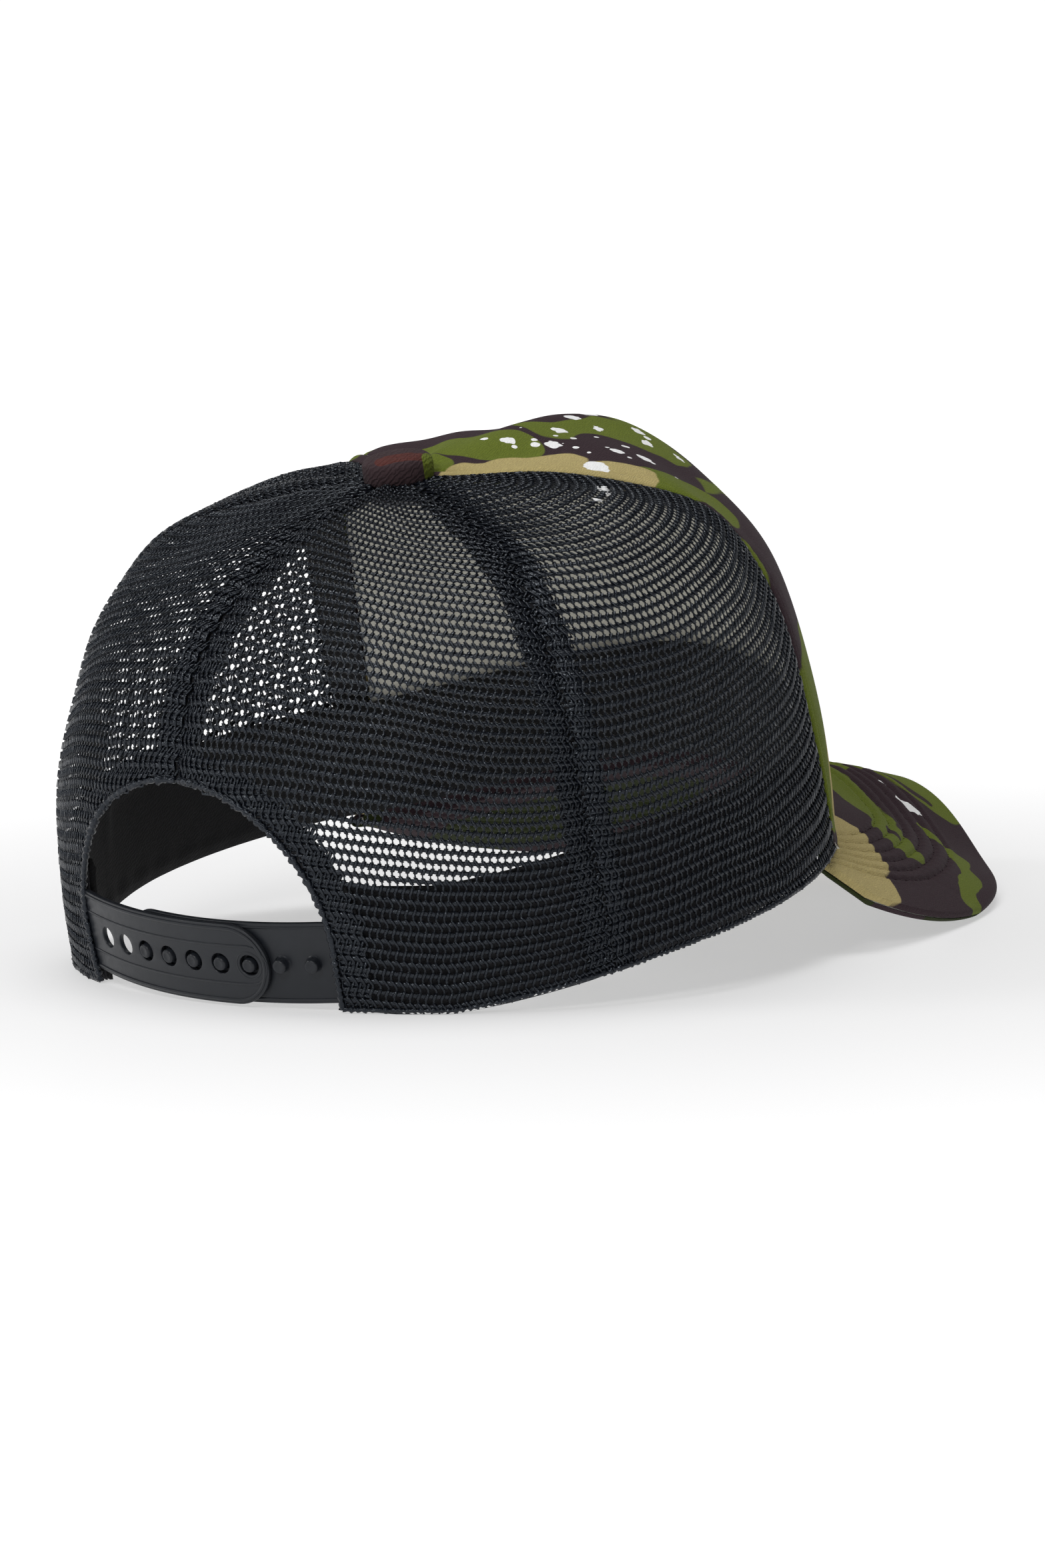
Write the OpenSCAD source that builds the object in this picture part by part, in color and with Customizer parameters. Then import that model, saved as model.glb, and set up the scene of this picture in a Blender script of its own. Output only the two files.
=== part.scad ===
// Five-panel mesh cap with a foam-backed front, a curved visor and a snap strap.
// Millimetres. +Z is up, the visor points to -Y and the wearer's left is +X.

/* [Head opening] */
// Length of the head opening, front to back
opening_length = 190; // [182:1:200]
// Width of the head opening
opening_width = 179; // [172:1:186]
// How much narrower the opening is at the front than at the back
egg = 0.06; // [0:0.01:0.1]
// Tilt of the crown as it rests, front raised
crown_tilt = 9.3; // [7:0.1:11]
// How much the front hem arches up over the visor
front_arch = 9; // [5:0.5:12]

/* [Crown shape] */
// Height of the button seat above the hem plane
button_height = 102.5; // [96:0.5:108]
// Set-back of the button seat from the middle of the opening
button_back = 4; // [0:0.5:8]
// Upright run of the back wall, of the side walls and of the front wall
wall_run = [103, 60, 137];
// Outward lean of the back wall, of the side walls and of the front wall
wall_lean = [17, -12, 15];
// Flat run of the top towards the back, the sides and the front
top_run = [18, 110, 20];

/* [Panels] */
// Half angle that the front panel covers
front_half = 57; // [52:0.5:62]
// Angle of the side seams from the centre back
side_seam = 63; // [58:0.5:68]
// Thickness of the mesh fabric
mesh_t = 0.9; // [0.6:0.1:1.2]
// Thickness of the front panel's face fabric
face_t = 0.8; // [0.6:0.1:1]
// Thickness of the front panel's foam
foam_t = 3.2; // [2.5:0.1:4]
// Width of the seam tapes inside the crown
tape_w = 11; // [8:0.5:13]
// Thickness of the seam tapes
tape_t = 0.45; // [0.3:0.05:0.5]

/* [Back arch] */
// Half width of the arch opening, as an angle
arch_half = 23.6; // [22:0.1:25]
// Height of the arch opening
arch_height = 51.5; // [46:0.5:55]
// Height where the arch starts to close in
arch_spring = 14; // [10:1:18]
// Width of the binding round the arch
binding_w = 8; // [6:0.5:10]

/* [Sweatband] */
// Height of the sweatband
band_h = 29; // [25:1:33]
// Thickness of the sweatband's backing
backing_t = 0.7; // [0.5:0.1:1]
// Thickness of the sweatband's padded face
band_t = 1.5; // [1:0.1:2]

/* [Visor] */
// Half width of the visor's edge curve
visor_half = 81; // [76:1:84]
// Reach of the visor's edge curve
visor_reach = 118; // [110:1:122]
// Where the edge curve is centred, ahead of the middle of the opening
visor_mid = 50; // [46:1:54]
// Half angle of the hem that the visor is sewn to
visor_root = 62; // [58:1:72]
// Height of the middle of the visor's front edge
visor_nose = 22.5; // [20:0.5:28]
// How much higher the visor's left edge sits than its right one
visor_twist = 8; // [0:0.5:10]
// Thickness of the visor's stiffener
board_t = 1.7; // [1.4:0.1:2]
// Thickness of each visor cover
cover_t = 0.6; // [0.5:0.1:0.8]
// Rows of stitching round the visor
stitch_rows = 6; // [4:1:8]

/* [Button] */
// Radius of the button
button_r = 8; // [7:0.5:9]
// Height of the button's dome
button_h = 4.6; // [4:0.1:6]

/* [Snap strap] */
// Radius that both straps curve to
strap_r = 94; // [90:1:100]
// Height of the straps
strap_h = 19.4; // [16:0.1:21]
// Thickness of the straps
strap_t = 1.2; // [1:0.1:1.4]
// Distance from hole to hole
hole_pitch = 7.9; // [7.6:0.1:8.2]
// Radius of the holes
hole_r = 2.45; // [2.3:0.05:2.5]
// Radius of the pegs
peg_r = 1.65; // [1.5:0.05:1.7]
// Height of the pegs
peg_h = 2.3; // [2:0.1:2.5]

/* [Hidden] */
$fn = 48;
// The whole cap moves forward or back by this much, to centre it on the origin.
centre_y = 34.3;
half_l = opening_length / 2;
half_w = opening_width / 2;
sink = 1.2;
// Slack between the mesh and the tapes, and between sewn layers.
tape_gap = 0.45;
slack = 0.4;
// The tapes stop this far from the button's axis.
tape_stop = 16;
soft_black = [0.08, 0.08, 0.09];
olive = [0.33, 0.38, 0.16];
bark = [0.2, 0.15, 0.17];

// ---- crown surface: th is the angle from the centre back, t runs from hem to button ----
function unit(v) = v / norm(v);
function clamp(x, a, b) = min(max(x, a), b);
function smooth(x, a, b) = let (k = clamp((x - a) / (b - a), 0, 1)) k * k * (3 - 2 * k);
// A value that goes from the back one, through the side one, to the front one
function round3(v, th) = (v[0] + 2 * v[1] + v[2]) / 4 + (v[0] - v[2]) / 2 * cos(th)
  + (v[0] - 2 * v[1] + v[2]) / 4 * cos(2 * th);
function front_off(th) = abs(th - 180);
function back_off(th) = min(th, 360 - th);
function tilt(p) = let (y = p[1] - half_l) [p[0],
  half_l + y * cos(crown_tilt) + p[2] * sin(crown_tilt),
  p[2] * cos(crown_tilt) - y * sin(crown_tilt) - sink];
function hem_arch(th) = front_off(th) < 58 ? front_arch * pow(cos(90 * front_off(th) / 58), 2) : 0;
function hem(th) = let (
  p = tilt([half_w * sin(th) * (1 + egg * cos(th)), half_l * cos(th),
    1.5 * pow(sin(th), 2) + hem_arch(th)]))
  [p[0], p[1], max(0, p[2] - 3 * (1 - smooth(back_off(th), 34, 80)))];
seat = tilt([0, button_back, button_height]);
function ctrl1(th) = let (r = round3(wall_lean, th)) tilt([
  half_w * sin(th) * (1 + egg * cos(th)) + r * sin(th), half_l * cos(th) + r * cos(th),
  round3(wall_run, th)]);
function ctrl2(th) = let (r = round3(top_run, th)) tilt([
  r * sin(th), button_back + r * cos(th), button_height + 0.8 + 2.4 * cos(th)]);
function S(th, t) = let (k = 1 - t) k * k * k * hem(th) + 3 * k * k * t * ctrl1(th)
  + 3 * k * t * t * ctrl2(th) + t * t * t * seat;
function normal(th, t) = let (
  a = S(th, min(t + 0.004, 0.995)) - S(th, max(t - 0.004, 0)),
  b = S(th + 0.4, t) - S(th - 0.4, t), n = unit(cross(a, b)))
  unit([n[0], n[1], n[2] * smooth(t, 0, 0.1)]);
function C(th, t, off) = let (p = S(th, t) + off * normal(th, t)) [p[0], p[1], max(0, p[2])];
// Where a panel stops round the button
function t_top(th) = 1 - 2.2 / (round3(top_run, th) + 8);
// The t at which the surface is h above the hem
function t_at(th, h, lo = 0, hi = 0.5, n = 14) = n == 0 ? (lo + hi) / 2 :
  let (m = (lo + hi) / 2) S(th, m)[2] - S(th, 0)[2] < h ? t_at(th, h, m, hi, n - 1)
    : t_at(th, h, lo, m, n - 1);
// Distance from the button's axis, level
function out(th, t) = let (p = S(th, t)) norm([p[0] - seat[0], p[1] - seat[1]]);
// The t at which the surface is r from the button's axis
function t_out(th, r, lo = 0.5, hi = 0.999, n = 14) = n == 0 ? (lo + hi) / 2 :
  let (m = (lo + hi) / 2) out(th, m) > r ? t_out(th, r, m, hi, n - 1) : t_out(th, r, lo, m, n - 1);

// ---- closed slabs from a grid of outer and inner points ----
function flat2(g) = [for (r = g) for (p = r) p];
module slab(outer, inner) {
  n = len(outer); m = len(outer[0]);
  function k(s, i, j) = s * n * m + i * m + j;
  polyhedron(points = concat(flat2(outer), flat2(inner)), faces = concat(
    [for (i = [0 : n - 2], j = [0 : m - 2], q = [0 : 3]) let (
      a = k(0, i, j), b = k(0, i + 1, j), c = k(0, i + 1, j + 1), d = k(0, i, j + 1),
      e = k(1, i, j), f = k(1, i + 1, j), g = k(1, i + 1, j + 1), h = k(1, i, j + 1))
      q == 0 ? [a, b, c] : q == 1 ? [a, c, d] : q == 2 ? [e, g, f] : [e, h, g]],
    [for (i = [0 : n - 2], q = [0 : 3]) let (
      a = k(0, i, 0), b = k(0, i + 1, 0), e = k(1, i, 0), f = k(1, i + 1, 0),
      d = k(0, i, m - 1), c = k(0, i + 1, m - 1), h = k(1, i, m - 1), g = k(1, i + 1, m - 1))
      q == 0 ? [b, a, e] : q == 1 ? [b, e, f] : q == 2 ? [d, c, g] : [d, g, h]],
    [for (j = [0 : m - 2], q = [0 : 3]) let (
      a = k(0, 0, j), d = k(0, 0, j + 1), e = k(1, 0, j), h = k(1, 0, j + 1),
      b = k(0, n - 1, j), c = k(0, n - 1, j + 1), f = k(1, n - 1, j), g = k(1, n - 1, j + 1))
      q == 0 ? [a, d, h] : q == 1 ? [a, h, e] : q == 2 ? [c, b, f] : [c, f, g]]));
}
module place() { translate([0, centre_y, 0]) children(); }

// A panel between two angles; lo is the t of its lower edge at each column
module panel(ths, lo, rows, off1, off0) {
  function t(i, j) = lo[i] + (t_top(ths[i]) - lo[i]) * j / rows;
  place() slab(
    [for (i = [0 : len(ths) - 1]) [for (j = [0 : rows]) C(ths[i], t(i, j), off1)]],
    [for (i = [0 : len(ths) - 1]) [for (j = [0 : rows]) C(ths[i], t(i, j), off0)]]);
}
function span(a, b, n) = [for (i = [0 : n]) a + (b - a) * i / n];
function zeros(n) = [for (i = [0 : n]) 0];

// ---- back arch: e is the distance outward from its edge ----
arch_t0 = t_at(0, arch_spring);
arch_t1 = t_at(0, arch_height);
function arch_th(e) = arch_half + e / 1.62;
function arch_t(th, e) = abs(th) >= arch_th(e) ? 0 : arch_t0
  + (arch_t1 - arch_t0 + e / 235) * sqrt(max(0, 1 - pow(th / arch_th(e), 2)));
// Point k of 0 to 1 round the arch, from the right hem up, over and down to the left hem
function arch_pt(k, e) = k < 0.1 ? [-arch_th(e), arch_t0 * k / 0.1]
  : k > 0.9 ? [arch_th(e), arch_t0 * (1 - k) / 0.1]
  : let (a = 180 * (k - 0.1) / 0.8) [-arch_th(e) * cos(a),
      arch_t0 + (arch_t1 - arch_t0 + e / 235) * sin(a)];
function wrap(th) = th < 0 ? th + 360 : th;

// ---- crown ----
module front_panel() {
  color(olive) panel(span(180 - front_half, 180 + front_half, 30), zeros(30), 20, 0, -face_t);
}
module front_foam() {
  color([0.75, 0.74, 0.7]) panel(span(180 - front_half, 180 + front_half, 30), zeros(30), 20,
    -face_t, -face_t - foam_t);
}
module side_mesh(s) {
  a = s > 0 ? side_seam : 180 + front_half;
  b = s > 0 ? 180 - front_half : 360 - side_seam;
  color(soft_black) panel(span(a, b, 14), zeros(14), 15, 0, -mesh_t);
}
module side_mesh_right() { side_mesh(-1); }
module side_mesh_left() { side_mesh(1); }
// The rear panels stop at the outer edge of the arch's binding.
module rear_mesh(s) {
  foot = binding_w + slack;
  c = arch_th(foot);
  arc = [for (i = [0 : 9]) c * sin(90 * i / 9)];
  ths = concat(arc, [c + 0.05], [for (i = [1 : 8]) c + (side_seam - c) * i / 8]);
  lo = [for (i = [0 : len(ths) - 1]) i < 9 ? arch_t(arc[i], foot) : i == 9 ? arch_t0 : 0];
  n = len(ths) - 1;
  color(soft_black) if (s > 0) panel(ths, lo, 14, 0, -mesh_t);
    else panel([for (i = [0 : n]) 360 - ths[n - i]], [for (i = [0 : n]) lo[n - i]], 14, 0, -mesh_t);
}
module rear_mesh_right() { rear_mesh(-1); }
module rear_mesh_left() { rear_mesh(1); }
// A seam tape inside the mesh: from a to b across, in mm from the seam's angle
module tape(th0, a, b, t0, rows) {
  t1 = t_out(th0, tape_stop);
  function t(j) = t0 + (t1 - t0) * j / rows;
  function th(i, j) = th0 + (a + (b - a) * i / 2) / max(out(th0, t(j)), 9) * 57.3;
  color([0.12, 0.12, 0.13]) place() slab(
    [for (i = [0 : 2]) [for (j = [0 : rows]) C(th(i, j), t(j), -mesh_t - tape_gap)]],
    [for (i = [0 : 2]) [for (j = [0 : rows]) C(th(i, j), t(j), -mesh_t - tape_gap - tape_t)]]);
}
module front_tape_right() { tape(180 + front_half, 0.2, tape_w - 1, 0, 16); }
module front_tape_left() { tape(180 - front_half, 1 - tape_w, -0.2, 0, 16); }
module side_tape_right() { tape(360 - side_seam, -tape_w / 2, tape_w / 2, 0, 16); }
module side_tape_left() { tape(side_seam, -tape_w / 2, tape_w / 2, 0, 16); }
module rear_tape() { tape(0, -tape_w / 2, tape_w / 2, arch_t1 + binding_w / 235 + 0.002, 14); }
module arch_binding() {
  n = 40;
  function p(i, j, off) = let (a = arch_pt(i / n, binding_w * j / 2)) C(wrap(a[0]), a[1], off);
  color([0.1, 0.1, 0.11]) place() slab(
    [for (i = [0 : n]) [for (j = [0 : 2]) p(i, j, 0.4)]],
    [for (i = [0 : n]) [for (j = [0 : 2]) p(i, j, -mesh_t)]]);
}
band_side = mesh_t + tape_gap + tape_t + slack;
band_front = face_t + foam_t + slack;
function band_off(th) = -band_side
  - (band_front - band_side) * (1 - smooth(front_off(th), front_half + 1, front_half + 9));
module band(off1, off0) {
  a = arch_half + 1.2; n = 64;
  function th(i) = a + (360 - 2 * a) * i / n;
  function t(i, j) = t_at(th(i), 0.4 + (band_h - 0.4) * j / 4);
  place() slab(
    [for (i = [0 : n]) [for (j = [0 : 4]) C(th(i), t(i, j), band_off(th(i)) + off1)]],
    [for (i = [0 : n]) [for (j = [0 : 4]) C(th(i), t(i, j), band_off(th(i)) + off0)]]);
}
module sweatband_backing() { color([0.15, 0.15, 0.16]) band(0, -backing_t); }
module sweatband_face() { color([0.11, 0.11, 0.12]) band(-backing_t, -backing_t - band_t); }
// Two lines of thread along the seams of the front panel
module front_topstitch() {
  color([0.25, 0.22, 0.2]) for (s = [-1, 1]) place() slab(
    [for (i = [0 : 1]) [for (j = [0 : 22]) thread(s, i, j, 0.4)]],
    [for (i = [0 : 1]) [for (j = [0 : 22]) thread(s, i, j, 0.1)]]);
}
function thread(s, i, j, off) = let (th0 = 180 + s * front_half, t = 0.02 + 0.9 * j / 22,
  d = (-s * 3 + 0.4 * (i - 0.5)) / max(out(th0, t), 9) * 57.3) C(th0 + d, t, off);

// ---- visor: u runs from the right side, -1, to the left side, 1, and v from hem to edge ----
function root(u) = let (th = 180 - visor_root * u, p = C(th, 0, -2)) [p[0], p[1], p[2] - 2];
function bell(x, width) = exp(-pow(x / width, 2));
function edge(u) = let (f = 90 * u, x = visor_half * sin(f), y = -visor_mid - visor_reach * cos(f),
  drop = 0.109 * (pow(x * x + 64, 0.7) - 18.4) + 5 * bell(abs(x) - 36, 17)
    - 1.6 * bell(abs(x) - 70, 12),
  ridge = visor_nose + 0.294 * (y + visor_mid + visor_reach), back = max(0, (abs(f) - 60) / 30))
  [x, y, ridge - drop + 4.6 * back + visor_twist * smooth(u, 0.2, 0.95)];
function V0(u, v) = root(u) * (1 - v) + edge(u) * v + [0, 0, 6 * v * (1 - v) * pow(cos(90 * u), 2)];
function Vn(u, v) = let (u1 = clamp(u, -0.985, 0.985))
  unit(cross(V0(u1, v + 0.01) - V0(u1, v - 0.01), V0(u1 + 0.01, v) - V0(u1 - 0.01, v)));
function V(u, v, off) = let (p = V0(u, v) + off * Vn(u, min(max(v, 0.02), 1)))
  [p[0], p[1], max(0, p[2])];
module sheet(vs, top, low, reach = 1) {
  n = 30;
  function u(i) = clamp(2 * i / n - 1, -reach, reach);
  place() slab(
    [for (i = [0 : n]) [for (j = [0 : len(vs) - 1]) V(u(i), vs[j], top[j])]],
    [for (i = [0 : n]) [for (j = [0 : len(vs) - 1]) V(u(i), vs[j], low[j])]]);
}
board_v = [0, 0.2, 0.4, 0.6, 0.8, 0.98];
cover_v = [0, 0.2, 0.4, 0.6, 0.8, 0.982, 0.983, 1.004];
hb = board_t / 2;
hc = hb + cover_t;
module visor_board() {
  color([0.8, 0.8, 0.76]) sheet(board_v, [for (v = board_v) hb], [for (v = board_v) -hb], 0.98);
}
module visor_top_cover() {
  color(olive) sheet(cover_v, [hc, hc, hc, hc, hc, hc, hc, 0.7], [hb, hb, hb, hb, hb, hb, 0, 0]);
}
module visor_under_cover() {
  color(bark) sheet(cover_v, [-hb, -hb, -hb, -hb, -hb, -hb, 0, 0],
    [-hc, -hc, -hc, -hc, -hc, -hc, -hc, -0.7]);
}
// Rows of thread that follow the visor's edge
module visor_stitching() {
  color([0.25, 0.2, 0.2]) for (k = [0 : stitch_rows - 1]) place() slab(
    [for (i = [stitch_from(k) : 30 - stitch_from(k)]) [for (j = [0 : 1]) stitch(k, i, j, hc + 0.4)]],
    [for (i = [stitch_from(k) : 30 - stitch_from(k)]) [for (j = [0 : 1]) stitch(k, i, j, hc + 0.16)]]);
}
function stitch_from(k) = 1 + floor(k / 2);
function stitch(k, i, j, off) = V(i / 15 - 1, 0.82 - 0.12 * k + 0.006 * j, off);

// ---- button: it stands on the cloth, and its shank goes down to a plate under the foam ----
button_foot = 0.8;
plate_depth = face_t + foam_t + slack;
module on_seat() { place() translate(seat) rotate([-crown_tilt, 0, 0]) children(); }
module dome(r, h) {
  rotate_extrude($fn = 48) intersection() {
    translate([0, h - r * r / h * 0.5 - h / 2]) circle(r = r * r / h * 0.5 + h / 2, $fn = 96);
    square([r, h]);
  }
}
module button_cover() {
  color(bark) on_seat() translate([0, 0, button_foot]) difference() {
    dome(button_r, button_h - button_foot);
    translate([0, 0, -0.01]) dome(button_r - 0.7, button_h - button_foot - 0.7);
  }
}
module button_shell() {
  color([0.7, 0.7, 0.72]) on_seat() {
    translate([0, 0, button_foot]) difference() {
      dome(button_r - 0.75, button_h - button_foot - 0.8);
      translate([0, 0, -0.01]) dome(button_r - 1.4, button_h - button_foot - 1.5);
    }
    translate([0, 0, -plate_depth]) cylinder(r = 1.6, h = plate_depth + button_h - 1);
  }
}
module button_plate() {
  color([0.6, 0.6, 0.62]) on_seat() translate([0, 0, -plate_depth - 1]) cylinder(r = 7, h = 1);
}

// ---- snap strap: the straps' own frame has Y out, Z along the hinge axes and X to the left ----
strap_at = [0, 96.6, 11.2];
strap_lean = 14;
holed_hinge = 35.2;
pegged_hinge = 37.6;
first_hole = 30;
function along(s) = s / strap_r * 57.2958;
module strap_frame() { place() translate(strap_at) rotate([-strap_lean, 0, 0])
  translate([0, -strap_r, 0]) children(); }
// A curved bar from s0 to s1, in mm along the strap, between two radii
module bar(s0, s1, r0, r1, h) {
  rotate([0, 0, 90 - along(s1)]) rotate_extrude(angle = along(s1 - s0), $fn = 360)
    translate([r0, -h / 2]) square([r1 - r0, h]);
}
// A rod that points out through the strap at s
module radial(s, r, r0, r1) {
  rotate([0, 0, -along(s)]) translate([0, r0, 0]) rotate([-90, 0, 0]) cylinder(r = r, h = r1 - r0);
}
// A bar with its tip clipped at the corners: s0 is the root, s1 the tip
module clipped_bar(s0, s1, r0, r1) {
  side = sign(s1 - s0);
  x0 = strap_r * sin(along(s0 - 6 * side));
  x1 = strap_r * sin(along(s1));
  top = strap_h / 2;
  intersection() {
    bar(min(s0, s1 + 4 * side), max(s0, s1 + 4 * side), r0, r1, strap_h + 4);
    translate([0, r1 + 5, 0]) rotate([90, 0, 0]) linear_extrude(r1)
      polygon([[x0, -top], [x1 - tip_clip * side, -top], [x1, tip_clip - top],
        [x1, top - tip_clip], [x1 - tip_clip * side, top], [x0, top]]);
  }
}
tip_clip = 5.8;
barrel_r = 0.8;
outer0 = strap_r - strap_t / 2;
outer1 = strap_r + strap_t / 2;
inner1 = outer0 - 0.5;
inner0 = inner1 - strap_t;
module strap_holed() {
  color([0.05, 0.05, 0.06]) strap_frame() {
    difference() {
      clipped_bar(holed_hinge - 0.3, first_hole - 6 * hole_pitch - 5, outer0, outer1);
      for (k = [0 : 6]) radial(first_hole - k * hole_pitch, hole_r, outer0 - 2, outer1 + 2);
    }
    rotate([0, 0, -along(holed_hinge)]) translate([0, strap_r, 0])
      cylinder(r = barrel_r, h = strap_h - 1, center = true);
  }
}
module strap_pegged() {
  color([0.07, 0.07, 0.08]) strap_frame() {
    clipped_bar(0.3 - pegged_hinge, first_hole - 2 * hole_pitch + 7, inner0, inner1);
    for (k = [2 : 8]) radial(first_hole - k * hole_pitch, peg_r, inner1 - 0.6, inner1 + peg_h);
    rotate([0, 0, along(pegged_hinge)]) translate([0, (inner0 + inner1) / 2, 0])
      cylinder(r = barrel_r, h = strap_h - 1, center = true);
  }
}
// The sewn-in ends, between the mesh and the sweatband
tab_l = 5.8;
tab_gap = 1.2;
tab_h = 13.6;
tab_rise = 0.5;
tab0 = outer0 + 0.12;
tab1 = outer1 - 0.48;
module strap_holed_tab() {
  color([0.05, 0.05, 0.06]) strap_frame() translate([0, 0, tab_rise])
    bar(holed_hinge + tab_gap, holed_hinge + tab_gap + tab_l, tab0, tab1, tab_h);
}
module strap_pegged_tab() {
  color([0.07, 0.07, 0.08]) strap_frame() translate([0, 0, tab_rise])
    bar(-pegged_hinge - tab_gap - tab_l, -pegged_hinge - tab_gap, tab0, tab1, tab_h);
}

front_panel();
front_foam();
side_mesh_right();
side_mesh_left();
rear_mesh_right();
rear_mesh_left();
front_tape_right();
front_tape_left();
side_tape_right();
side_tape_left();
rear_tape();
arch_binding();
sweatband_backing();
sweatband_face();
visor_board();
visor_top_cover();
visor_under_cover();
visor_stitching();
front_topstitch();
button_cover();
button_shell();
button_plate();
strap_holed_tab();
strap_pegged_tab();
strap_holed();
strap_pegged();
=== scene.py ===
"""Looks for a five-panel mesh cap: knitted front with a foam back, net sides, curved visor, snap strap.

Lengths are in millimetres until a piece is made. The crown's own angles are th, in degrees from the
centre back through the wearer's left, and t, from 0 at the hem to 1 at the button.
"""
import math

import bmesh
import bpy
import numpy as np
from mathutils import Matrix, Vector


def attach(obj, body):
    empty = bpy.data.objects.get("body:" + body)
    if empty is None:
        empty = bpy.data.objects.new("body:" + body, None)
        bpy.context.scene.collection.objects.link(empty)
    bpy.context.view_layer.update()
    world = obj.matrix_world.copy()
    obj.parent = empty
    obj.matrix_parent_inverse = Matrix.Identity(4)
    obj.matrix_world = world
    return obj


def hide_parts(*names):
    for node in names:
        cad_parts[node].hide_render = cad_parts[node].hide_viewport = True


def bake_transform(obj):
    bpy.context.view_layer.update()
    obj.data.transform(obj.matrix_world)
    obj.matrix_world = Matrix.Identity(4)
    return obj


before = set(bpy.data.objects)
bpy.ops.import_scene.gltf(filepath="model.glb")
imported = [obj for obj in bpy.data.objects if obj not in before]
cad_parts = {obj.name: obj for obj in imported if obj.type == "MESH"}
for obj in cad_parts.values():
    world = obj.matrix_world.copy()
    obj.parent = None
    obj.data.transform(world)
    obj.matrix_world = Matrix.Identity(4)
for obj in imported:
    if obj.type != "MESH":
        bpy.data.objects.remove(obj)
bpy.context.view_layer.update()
MM = 0.001
rng = np.random.default_rng(7)

# ---- crown sizes, the same as the CAD's ----
HALF_L, HALF_W, EGG, LEAN, SINK, CENTRE_Y = 95.0, 89.5, 0.06, 9.3, 1.2, 34.3
FRONT_ARCH, BUTTON_BACK, BUTTON_Z = 9.0, 4.0, 102.5
WALL_RUN, WALL_LEAN, TOP_RUN = (103, 60, 137), (17, -12, 15), (18, 110, 20)
FRONT_HALF, SIDE_SEAM = 57.0, 63.0
MESH_T, FACE_T, FOAM_T, TAPE_T, TAPE_W = 0.9, 0.8, 3.2, 0.45, 11.0
ARCH_HALF, ARCH_HEIGHT, ARCH_SPRING, BINDING_W = 23.6, 51.5, 14.0, 8.0
BAND_H, BACKING_T, BAND_T = 29.0, 0.7, 1.5
BAND_SIDE, BAND_FRONT = 2.2, 4.4
VISOR_HALF, VISOR_REACH, VISOR_MID, VISOR_ROOT, VISOR_NOSE = 81.0, 118.0, 50.0, 62.0, 22.5
VISOR_TWIST = 8.0
BOARD_HALF, COVER_T = 0.85, 0.6
STITCH_ROWS = 6
STRAP_R, STRAP_H, STRAP_T, HOLE_PITCH, HOLE_R, PEG_R, PEG_H = 94.0, 19.4, 1.2, 7.9, 2.45, 1.65, 2.3
FIRST_HOLE, HOLED_HINGE, PEGGED_HINGE, STRAP_LEAN = 30.0, 35.2, -37.6, 14.0
STRAP_AT = (0.0, 96.6, 11.2)
RIGHT_FRONT, LEFT_FRONT = 180 + FRONT_HALF, 180 - FRONT_HALF
SEAM_HOLLOWS = [(SIDE_SEAM, 1.3, 2.6), (-SIDE_SEAM, 1.3, 2.6), (0, 1.3, 2.6), (RIGHT_FRONT, 0.9, 1.8),
                (LEFT_FRONT, 0.9, 1.8)]


def sind(angle):
    return np.sin(np.radians(angle))


def cosd(angle):
    return np.cos(np.radians(angle))


def smooth(x, a, b):
    k = np.clip((np.asarray(x, float) - a) / (b - a), 0, 1)
    return k * k * (3 - 2 * k)


def bump(x, width):
    """1 at x = 0, falling away over about that width."""
    return np.exp(-((np.asarray(x, float) / width) ** 2))


def unit(v):
    return v / np.maximum(np.linalg.norm(v, axis=-1, keepdims=True), 1e-9)


def turns(n):
    """n equal steps of angle round a circle."""
    return np.linspace(0, 2 * np.pi, n, endpoint=False)


def alike(*values):
    """The values as float arrays of one shape."""
    return np.broadcast_arrays(*[np.asarray(value, float) for value in values])


def finished(p):
    """Points kept just above the table and put in the shared frame."""
    p[..., 2] = np.maximum(p[..., 2], 0.02)
    return p + (0, CENTRE_Y, 0)


def run_along(line):
    """Distance from the first point of a line to each of its points."""
    return np.concatenate([[0], np.cumsum(np.linalg.norm(np.diff(line, axis=0), axis=1))])


def round3(v, th):
    c, c2 = cosd(th), cosd(2 * th)
    return (v[0] + 2 * v[1] + v[2]) / 4 + (v[0] - v[2]) / 2 * c + (v[0] - 2 * v[1] + v[2]) / 4 * c2


def leaned(y, z, degrees):
    """Y and Z after leaning towards the back of the head by that angle."""
    c, s = math.cos(math.radians(degrees)), math.sin(math.radians(degrees))
    return y * c + z * s, z * c - y * s


def tilted(x, y, z):
    """A point of the upright crown, after the crown leans back."""
    y, z = leaned(y - HALF_L, z, LEAN)
    return np.stack(np.broadcast_arrays(x, HALF_L + y, z - SINK), -1)


def crown_bare(th, t):
    """The crown's outer surface before its small hollows and swells."""
    th, t = alike(np.asarray(th, float) % 360, t)
    sn, cs = sind(th), cosd(th)
    front, back = np.abs(th - 180), np.minimum(th, 360 - th)
    x0, y0 = HALF_W * sn * (1 + EGG * cs), HALF_L * cs
    rise = np.where(front < 58, FRONT_ARCH * cosd(90 * np.minimum(front, 58) / 58) ** 2, 0)
    hem = tilted(x0, y0, 1.5 * sn**2 + rise)
    hem[..., 2] = np.maximum(0, hem[..., 2] - 3 * (1 - smooth(back, 34, 80)))
    lean, run = round3(WALL_LEAN, th), round3(TOP_RUN, th)
    low = tilted(x0 + lean * sn, y0 + lean * cs, round3(WALL_RUN, th))
    high = tilted(run * sn, BUTTON_BACK + run * cs, BUTTON_Z + 0.8 + 2.4 * cs)
    k, t = (1 - t)[..., None], t[..., None]
    return k**3 * hem + 3 * k * k * t * low + 3 * k * t * t * high + t**3 * SEAT


SEAT = tilted(0.0, BUTTON_BACK, BUTTON_Z)


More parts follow.
